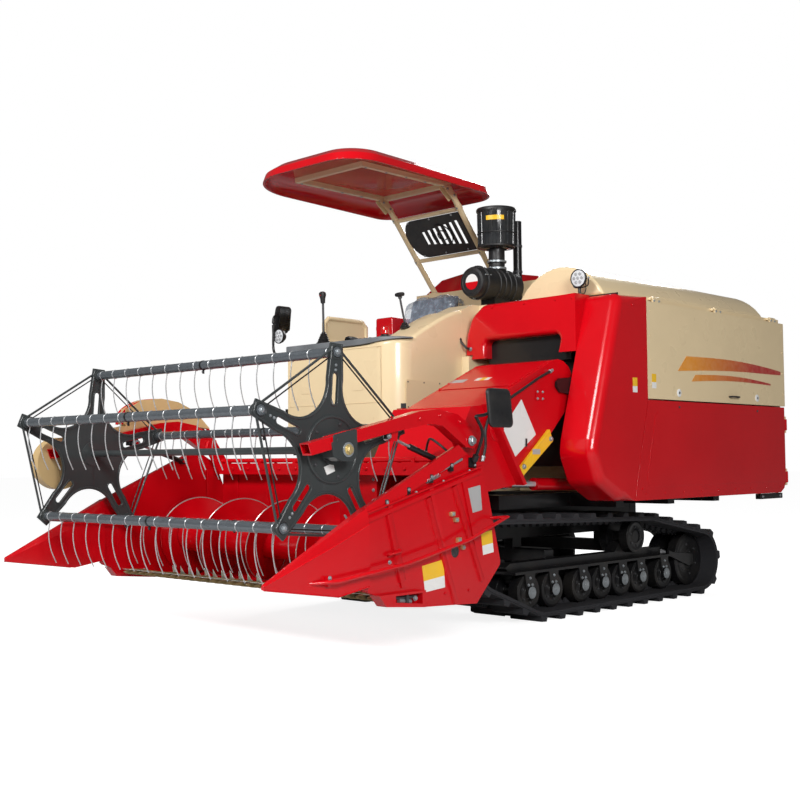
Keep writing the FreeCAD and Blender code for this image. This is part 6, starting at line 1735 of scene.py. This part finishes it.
@dataclass
class AirCleaner:
    """Canister on its saddle with the pre-cleaner bowl above it."""

    ends: tuple[float, float] = (-0.69, -0.253)
    z: float = 2.127
    radius: float = 0.115
    bowl_x: float = -0.525
    foot: float = 2.387
    shoulder: float = 2.64
    bowl: float = 0.137
    ribs: int = 28
    neck: Rows = ((0, 58), (30, 58), (34, 64), (52, 64), (56, 55), (78, 55), (82, 62), (98, 62),
                                         (102, 55), (180, 55), (186, 68), (192, 68))

    def canister(self, shape: Shape) -> None:
        """Ribbed canister with its end cap and three clips."""
        r, (back, front) = self.radius, self.ends
        wall, span = r * 0.95, front - back
        body = [(0.0, 0.03), (0.0, r * 0.86), (0.01, wall), (0.05, wall)]
        for s in (0.075, 0.13, 0.185, 0.24):
            body += [(s, wall), (s + 0.004, r), (s + 0.014, r), (s + 0.018, wall)]
        body += [(span - a, b) for a, b in ((0.075, wall), (0.072, r), (0.056, r), (0.054, r * 0.9), (0.02, r * 0.9),
                                            (0.006, r * 0.84), (0.002, r * 0.7), (0.006, r * 0.66), (0.006, 0.002))]
        shape.lathe(body, (back, 0.0, self.z), AHEAD, PLASTIC, 56)
        for turn in (0.4, 2.5, 4.6):
            y, h = (r - 0.002) * cos(turn), (r - 0.002) * sin(turn)
            shape.tube([(front - 0.085, y, self.z + h), (front - 0.03, y * 0.95, self.z + h * 0.95)], 0.004, ZINC, 8)

    def pre_cleaner(self, shape: Shape) -> None:
        """Neck with its two clamps, and the ribbed bowl under its cap, with a blank band."""
        x, b, tall = self.bowl_x, self.bowl, self.shoulder - self.foot
        root, foot = self.z + 0.073, (x, 0.0, self.foot)
        shape.lathe(mm(self.neck), (x, 0.0, root), UP, PLASTIC, 40)
        for h in (0.043, 0.09):
            shape.collar((x, 0.0, root + h), UP, (-0.006, 0.006), (0.0655, 0.0665), ZINC, 40)
            shape.block((x + 0.058, -0.01, root + h - 0.006), (x + 0.078, 0.01, root + h + 0.006), ZINC, 0.002)
        side = [(-0.012, 0.07), (-0.004, b * 0.82), (0.0, b * 0.86), (0.01, b * 0.9), (tall - 0.012, b * 0.93)]
        shape.lathe(side, foot, UP, BOWL, 56, caps=False)
        for t in circle(self.ribs)[:, 0]:
            p, q = (b * share * np.array([cos(t), sin(t)]) for share in (0.905, 0.935))
            shape.tube([(x + p[0], p[1], self.foot + 0.016), (x + q[0], q[1], self.shoulder - 0.02)], 0.0042, BOWL, 6)
        for h, w in ((0.0, 0.01), (tall * 0.36, 0.006), (tall - 0.014, 0.008)):
            shape.lathe([(h, b * 0.9), (h, b * 0.962), (h + w, b * 0.97), (h + w, b * 0.9)], foot, UP, PLASTIC, 56)
        cap = [(tall + h, w) for h, w in ((-0.006, b * 0.93), (-0.006, b), (0.008, b), (0.014, b * 0.97),
                                          (0.022, b * 0.7), (0.026, b * 0.3), (0.027, 0.02), (0.027, 0.001))]
        shape.lathe(cap, foot, UP, PLASTIC, 56)
        turn = np.linspace(radians(8), radians(62), 20)
        ring = np.column_stack([x + b * 0.974 * np.cos(turn), b * 0.974 * np.sin(turn)])
        band = np.stack([np.insert(ring, 2, self.foot + h, axis=1) for h in (tall * 0.68, tall * 0.8)])
        shape.sheet(band, YELLOW)

    def build(self) -> None:
        """Make the air cleaner and dress the exhaust."""
        shape, x = Shape(), self.bowl_x
        self.canister(shape)
        self.pre_cleaner(shape)
        shape.block((x - 0.055, -0.06, 1.975), (x + 0.1, 0.06, 2.05), BLACK)
        shape.bolts(spots((x - 0.02, x + 0.07), (-0.045, 0.045), 2.046), UP, 0.007)
        pipe = smooth_path(mm([(-560, 0, 2060), (-580, 30, 2020), (-600, 45, 1972)]), 10)
        ribs = 0.034 + 0.004 * np.sign(np.sin(np.arange(len(pipe)) * pi / 1.5))
        shape.tube(pipe, ribs, PLASTIC, 20).stand_in("air_cleaner")
        badge, t, face = Shape(), np.linspace(0, pi, 20), self.ends[1] - 0.0055
        for sign, finish in ((1, WHITE), (-1, RED)):
            half = np.column_stack([0.052 * np.cos(t), sign * 0.052 * np.sin(t)]) + (0.0, self.z)
            badge.slab(half, face, face + 0.0015, "x", finish)
        badge.build("canister_blank_badge", "chassis")
        soften("exhaust_pipe", BLACK, 0.002)
        bands = Shape()
        for z in (2.01, 2.24, 2.42):
            bands.collar((-0.755, 0.0, z), UP, (0, 0.014), (0.03, 0.034), CAST, 28)
        bands.hoop(ring_path((-0.755, 0.0, 2.5995), 0.028, "z"), 0.0022, CAST, up=UP)
        bands.build("exhaust_bands", "chassis")


@dataclass(frozen=True)
class Pod:
    """Rounded mirror housing: one rounded outline carried through depth, domed at its back."""

    centre: Point
    across: Point
    up: Point
    half: tuple[float, float]
    depth: float
    radius: float
    tilt: float = 0.0
    crown: float = 0.5

    def add_to(self, shape: Shape) -> None:
        """Add the housing; tilt is how far its upper end leans along across."""
        a, u = unit(np.asarray(self.across, float)), unit(np.asarray(self.up, float))
        (w, h), lean, crown = self.half, self.tilt, self.crown
        outline = rounded([(-w - lean, -h), (w - lean, -h), (w + lean, h), (-w + lean, h)], self.radius, 6)
        t = np.linspace(0, pi / 2, 7)[1:]
        sizes = np.concatenate([[0.01, 0.955, 1.0, 1.0], 1 - 0.55 * (1 - np.cos(t)), [0.01]])
        places = np.concatenate([[0.0, 0.0, 0.06, 1 - crown], 1 - crown + crown * np.sin(t), [1.0]]) * self.depth
        flat = outline[None] * sizes[:, None, None]
        grid = np.asarray(self.centre) + flat[..., :1] * a + flat[..., 1:] * u + places[:, None,
                                                                                        None] * np.cross(a, u)
        shape.sheet(grid, PLASTIC, around=True, caps=True)


@dataclass
class LampsAndMirrors:
    """Work lamp, mirrors with their arms, round front lamp and tail lamps."""

    left_pod: Pod = Pod((1.01, 1.2385, 1.21), (-1, 0, 0), (0.13, 0, 1), (0.094, 0.1), 0.0225, 0.03)
    right_pod: Pod = Pod((0.397, -1.162, 1.925), AHEAD, UP, (0.068, 0.094), 0.0235, 0.026, -0.02)
    left_arm: Rows = ((1060, 1105, 925), (1066, 1150, 1000), (1080, 1190, 1085), (1150, 1215, 1150),
                                                  (1165, 1222, 1165), (1120, 1232, 1172), (1060, 1240, 1190))
    right_arm: Rows = ((465, -1005, 1640), (466, -1040, 1640), (475, -1120, 1670), (488, -1150, 1705),
                                                   (490, -1150, 1820), (488, -1150, 1925), (440, -1150, 1958))
    wire: Rows = ((-276, 870, 2050), (-300, 874, 2035), (-306, 878, 2000), (-300, 872, 1966),
                                              (-288, 866, 1957))

    def round_lamp(self, shape: Shape, at: Point, r: float) -> None:
        """Forward lamp of radius r with a finned shell, bezel and bright reflectors behind its glass."""
        shell = [(-0.042, r * 0.35), (-0.04, r * 0.55), (-0.03, r * 0.7), (-0.02, r * 0.86), (-0.006, r * 0.92),
                 (-0.004, r), (0.006, r), (0.008, r * 0.9), (0.004, r * 0.88)]
        shape.lathe(shell, at, AHEAD, PLASTIC, 40)
        shape.lathe([(0.004, r * 0.88), (0.0065, r * 0.6), (0.0075, r * 0.3), (0.008, 0.001)], at, AHEAD, LENS, 40)
        bulb = [(0, r * 0.2), (0.0018, r * 0.19), (0.0026, r * 0.11), (0.0028, 0.001)]
        for t, reach in (*zip(circle(6)[:, 0], [r * 0.5] * 6), (0.0, 0.0)):
            base = np.asarray(at) + (0.0068, -reach * cos(t), reach * -sin(t))
            shape.lathe(bulb, base, AHEAD, CHROME, 16)

    def left(self) -> None:
        """Left mirror on its bent arm from the header."""
        shape, (x, _, z) = Shape(), self.left_pod.centre
        self.left_pod.add_to(shape)
        t = rounded(mm([(-78, -84), (78, -84), (78, 84), (-78, 84)]), 0.02)
        shape.slab(np.column_stack([x + t[:, 0] + 0.13 * t[:, 1], z + t[:, 1]]), 1.237, 1.2386, "y", MIRROR)
        shape.bend(mm(self.left_arm), 8, 0.0085, BLACK, 14)
        shape.collar((1.062, 1.125, 0.957), (0.0, 0.45, 0.9), (-0.016, 0.016), (0.012, 0.017), PLASTIC, 20)
        shape.lathe([(-0.012, 0.014), (0.012, 0.014)], (1.04, 1.24, 1.195), LEFT, PLASTIC, 20)
        shape.block((1.035, 1.101, 0.908), (1.09, 1.109, 0.96), BLACK, 0.006)
        shape.bolts(spots(1.047, 1.109, (0.92, 0.948)), LEFT, 0.006).stand_in("left_mirror")

    def right(self) -> None:
        """Right mirror and round lamp on one bent bracket."""
        shape, (x, _, z) = Shape(), self.right_pod.centre
        self.right_pod.add_to(shape)
        glass = rounded(mm([(-52, -80), (52, -80), (32, 80), (-68, 80)]), 0.016)
        shape.slab(glass + (x + 0.008, z), -1.1385, -1.1375, "y", MIRROR)
        shape.bend(mm(self.right_arm), 8, 0.009, BLACK, 14)
        self.round_lamp(shape, (0.472, -1.11, 1.8), 0.051)
        shape.tube(mm([(440, -1110, 1800), (460, -1132, 1800), (488, -1150, 1800)]), 0.008, BLACK, 12)
        shape.lathe(mm([(0, 20), (8, 20), (10, 11)]), (0.465, -1.005, 1.64), RIGHT, BLACK,
                    20).stand_in("right_mirror")

    def work_lamp(self) -> None:
        """Work lamp in its yoke, with its lead."""
        shape = Shape()
        self.round_lamp(shape, (-0.24, 0.87, 2.05), 0.057)
        shape.tube(mm([(-260, 862, 1953), (-260, 862, 2000)]), 0.01, BLACK, 14)
        yoke = ((812, 2050), (816, 2010), (840, 1997), (900, 1997), (924, 2010), (927, 2050))
        shape.bend(np.insert(mm(yoke), 0, -0.262, axis=1), 5, 0.004, BLACK)
        for y, s in ((0.812, -1), (0.927, 1)):
            shape.bolt((-0.262, y, 2.05), (0, s, 0), 0.006)
        shape.lathe(mm([(0, 24), (4, 24), (6, 12)]), (-0.26, 0.862, 1.953), UP, BLACK, 20).stand_in("work_lamp")
        size = 0.006
        piece, path = hose("work_lamp_lead", "chassis", mm(self.wire), size, 10)

    def build(self) -> None:
        """Make the lamps and mirrors."""
        self.left()
        self.right()
        self.work_lamp()
        tail = Shape()
        for rear, y in ((-2.3, -0.95), (-2.44, 0.12)):
            tail.block((rear - 0.016, y - 0.05, 1.18), (rear, y + 0.05, 1.3), PLASTIC, 0.012)
            for z, finish in ((1.21, LAMP_RED), (1.27, LAMP_AMBER)):
                tail.lathe(mm([(0, 26), (6, 25), (10, 16), (11, 1)]), (rear - 0.016, y, z), BACK, finish, 28)
        tail.block((-2.484, 0.5, 1.18), (-2.48, 0.76, 1.32), WHITE, 0.01)
        tail.build("tail_lamps", "chassis", 0.001)


# ---- right side and rear ------------------------------------------------------------------------

@dataclass
class RightSide:
    """Tank, engine enclosure, grille, unloading tube and rear hood."""

    wall: float = -1.08
    tube_y: float = -1.16
    tube_z: float = 1.71
    tube_radius: float = 0.07

    def tank(self) -> None:
        """Pressed ribs, rim bolts and window of the grain tank, and the housing under it."""
        shape, y = Shape(), self.wall
        for low, high, radius, places in ((1.7, 2.15, 0.007, np.linspace(-2.16, -1.02, 6)),
                                          (0.82, 1.38, 0.008, np.linspace(-2.15, -1.05, 5))):
            for x in places:
                shape.tube([(x, y - 0.001, low), (x, y - 0.001, high)], radius, CREAM)
        shape.bolts(spots(np.linspace(-2.25, -0.92, 12), y, 1.48), RIGHT, 0.006)
        shape.bolts(spots(np.linspace(-2.25, -0.92, 10), y, 2.18), RIGHT, 0.006, CREAM)
        shape.block((-1.5, y - 0.003, 1.86), (-1.2, y, 2.06), PLASTIC, 0.03)
        shape.block((-1.485, y - 0.005, 1.875), (-1.215, y - 0.003, 2.045), LENS, 0.02)
        shape.block((-2.05, y - 0.004, 0.9), (-1.6, y, 1.3), RED, 0.04)
        shape.bolts(spots((-2.02, -1.63), y - 0.004, (0.93, 1.27)), RIGHT, 0.008)
        grip = [(-1.87, y - 0.004, 1.1), (-1.87, y - 0.03, 1.105), (-1.78, y - 0.03, 1.105), (-1.78, y - 0.004, 1.1)]
        shape.bend(grip, 5, 0.006, PLASTIC)
        for z in (1.56, 1.7, 1.84, 1.98):
            shape.tube([(-2.301, -0.96, z), (-2.301, -0.06, z)], 0.007, CREAM)
        shape.bolts(spots(-2.3, (-1.0, -0.04), np.linspace(0.8, 1.4, 5)), BACK, 0.008)
        shape.block((-2.306, -0.72, 0.86), (-2.3, -0.3, 1.32), RED, 0.04)
        shape.blocks(spots(0, 0, (0.94, 1.24)), (-2.316, -0.76, -0.02), (-2.3, -0.69, 0.02), CAST, 0.006)
        shape.build("tank_fittings", "chassis", 0.0012)

    def enclosure(self) -> None:
        """Engine enclosure: louvres, latches, screen mesh and hose."""
        shape, y = Shape(), self.wall
        for z in np.arange(0.892, 1.395, 0.014):
            shape.tube([(-0.768, y + 0.008, z), (-0.262, y + 0.008, z)], 0.0011, WIRE, 4)
        for x in np.arange(-0.76, -0.262, 0.014):
            shape.tube([(x, y + 0.0095, 0.888), (x, y + 0.0095, 1.393)], 0.0011, WIRE, 4)
        shape.bolts(spots((-0.77, -0.26), y, (0.872, 1.408)), RIGHT, 0.006)
        latches = spots((-0.84, -0.195), y, (0.95, 1.33))
        shape.blocks(latches, (-0.018, -0.008, -0.03), (0.018, 0, 0.03), PLASTIC, 0.008)
        louvres = spots(-0.3 - 0.07 * np.arange(6), y, 1.5)
        shape.blocks(louvres, (-0.05, -0.004, 0), (0, 0, 0.06), CREAM, 0.012)
        shape.block((-0.69, -1.074, 1.9), (-0.43, -1.07, 1.93), RED, 0.006)
        shape.blocks(spots((-0.62, -0.5), 0, 0), (-0.016, -1.077, 1.87), (0.016, -1.07, 1.92), ZINC, 0.003)
        shape.tube(mm([(-880, 92, 1640), (-335, 92, 1640)]), 0.003, CREAM, 8)
        shape.build("enclosure_fittings", "chassis", 0.0008)

    def unloader(self) -> None:
        """Clamp rings, elbow flange and spout lip of the unloading tube."""
        shape, y, z, r = Shape(), self.tube_y, self.tube_z, self.tube_radius
        ends, radii = (-0.008, 0.008), (r - 0.001, r + 0.006)
        for x in (-2.2, -1.7, -1.24, -0.76):
            shape.collar((x, y, z), AHEAD, ends, radii, CREAM, 40)
            shape.bolt((x + 0.008, y - 0.048, z + 0.055), AHEAD, 0.005)
        shape.collar((-2.385, y, 1.64), UP, ends, radii, CREAM, 40)
        skirt = [[(-0.704, y - h, low), (-0.556, y - h, low), (-0.556, y + h, low), (-0.704, y + h, low)]
                 for h, low in ((0.052, 1.566), (0.056, 1.62))]
        shape.sheet(skirt, PLASTIC, around=True, caps=True)
        shape.build("unloader_fittings", "unloading_tube", 0.0008)

    def rear(self) -> None:
        """Rear hood: folds, hinges and handle."""
        shape = Shape()
        for y in np.linspace(0.28, 0.91, 4):
            shape.tube([(-2.4785, y, 1.02), (-2.4775, y, 1.17)], 0.006, CREAM, 10)
        shape.bolts(spots(-2.476, (0.24, 0.95), (1.42, 1.6, 1.78)), BACK, 0.007)
        shape.blocks(spots(0, (0.32, 0.87), 0), (-2.484, -0.04, 1.82), (-2.474, 0.04, 1.85), CAST, 0.006)
        grip = [(-2475, 545, 1500), (-2486, 545, 1502), (-2486, 645, 1502), (-2475, 645, 1500)]
        shape.bend(mm(grip), 5, 0.005, PLASTIC)
        shape.bolts(spots(-2.44, np.linspace(0.12, 1.06, 8), 0.78), BACK, 0.007)
        shape.build("rear_hood_fittings", "chassis", 0.0008)

    def build(self) -> None:
        """Dress the right side and the rear."""
        soften("engine_cover", CREAM, 0.016, 4)
        soften("tool_box", RED, 0.016, 4)
        self.tank()
        self.enclosure()
        self.unloader()
        self.rear()


# ---- studio -------------------------------------------------------------------------------------

@dataclass
class Studio:
    """Camera, floor and soft lights."""

    eye: Point = (5.62519, 4.96779, 0.95792)
    ahead: Point = (-0.72110609, -0.69100465, 0.05018556)
    right: Point = (-0.69215756, 0.72169724, -0.00842642)
    lens: float = 1162.517 / 800.0 * 36.0
    ambient: float = 0.27
    sheen: float = 0.11
    reach: float = 60.0
    lamps: tuple[tuple[str, Point, Point, tuple[float, float], float], ...] = (
        ("key", (6.8, 0.6, 5.6), (0.4, 0.0, 1.2), (3.0, 2.2), 460.0),
        ("fill", (4.2, 6.8, 3.4), (0.9, 0.6, 0.9), (2.6, 1.6), 350.0),
        ("rim", (-6.0, -3.0, 5.0), (0.0, 0.0, 1.5), (3.0, 2.0), 220.0))

    @staticmethod
    def place(name: str, data: bpy.types.ID) -> bpy.types.Object:
        """Put an object with its data into the scene."""
        made = bpy.data.objects.new(name, data)
        bpy.context.scene.collection.objects.link(made)
        return made

    def camera(self) -> None:
        """Set the camera at its measured place."""
        data = bpy.data.cameras.new("view_camera")
        data.sensor_width, data.lens, data.clip_end = 36.0, self.lens, 200.0
        camera = self.place("view_camera", data)
        ahead, right = Vector(self.ahead).normalized(), Vector(self.right).normalized()
        turn = Matrix((right, right.cross(ahead), -ahead)).transposed()
        camera.matrix_world = Matrix.Translation(Vector(self.eye)) @ turn.to_4x4()
        bpy.context.scene.camera = camera

    def floor(self) -> None:
        """Pale floor out to the horizon, white to the camera apart from the shadow."""
        r, g = self.reach, Graph("pale_floor")
        mesh = bpy.data.meshes.new("studio_floor")
        mesh.from_pydata([(x, y, -0.001) for x, y in ((-r, -r), (r, -r), (r, r), (-r, r))], [], [(0, 1, 2, 3)])
        glow = g.times(g.node("LightPath", {}).outputs["Is Camera Ray"], 0.98 - 0.5 * self.ambient)
        mesh.materials.append(g.surface({
            "Base Color": g.mix(g.noise(0.8, 3.0), (0.49, 0.49, 0.49), (0.51, 0.51, 0.51)), "Roughness": 0.9,
            "Specular IOR Level": 0.0, "Emission Color": (1.0, 1.0, 1.0), "Emission Strength": glow}))
        self.place("studio_floor", mesh)

    def world(self) -> None:
        """White world to the camera, softer as a light and in reflections."""
        world = bpy.data.worlds.new("studio_world")
        world.use_nodes = True
        tree = world.node_tree
        back, path, either, level, darker = tree.nodes["Background"], *(tree.nodes.new("ShaderNode" + kind)
                                                                        for kind in ("LightPath", "Math",
                                                                                     "MapRange", "Math"))
        either.operation, darker.operation = "MAXIMUM", "MULTIPLY_ADD"
        level.inputs["To Min"].default_value, level.inputs["To Max"].default_value = self.ambient, 1.0
        darker.inputs[1].default_value = self.sheen - self.ambient
        back.inputs["Color"].default_value = (1.0, 1.0, 1.0, 1.0)
        for source, target in ((path.outputs["Is Camera Ray"], either.inputs[0]),
                               (path.outputs["Is Transmission Ray"], either.inputs[1]),
                               (either.outputs[0], level.inputs["Value"]),
                               (path.outputs["Is Glossy Ray"], darker.inputs[0]),
                               (level.outputs["Result"], darker.inputs[2]),
                               (darker.outputs[0], back.inputs["Strength"])):
            tree.links.new(source, target)
        bpy.context.scene.world = world

    def build(self) -> None:
        """Make the camera, the floor, the world and the soft lights, each facing its target."""
        self.camera()
        self.floor()
        self.world()
        for name, at, target, size, power in self.lamps:
            data = bpy.data.lights.new(name, "AREA")
            data.shape, data.energy = "RECTANGLE", power
            data.size, data.size_y = size
            light = self.place(name, data)
            light.location = at
            light.rotation_euler = (Vector(target) - Vector(at)).to_track_quat("-Z", "Y").to_euler()
        bpy.context.scene.view_settings.view_transform = "Standard"


def main() -> None:
    """Build the machine's looks in order."""
    logging.basicConfig(level=logging.WARNING)
    for part in (Studio, Skins, TineBars, Stars, ReelArms, DriveCover, FeedAuger, Knife, EndPanels, TableFittings,
                 Undercarriage, SideDoors, Feeder, Station, Seat, Canopy, AirCleaner, LampsAndMirrors, RightSide):
        part().build()
        LOG.info("built %s", part.__name__)


if __name__ == "__main__":
    main()
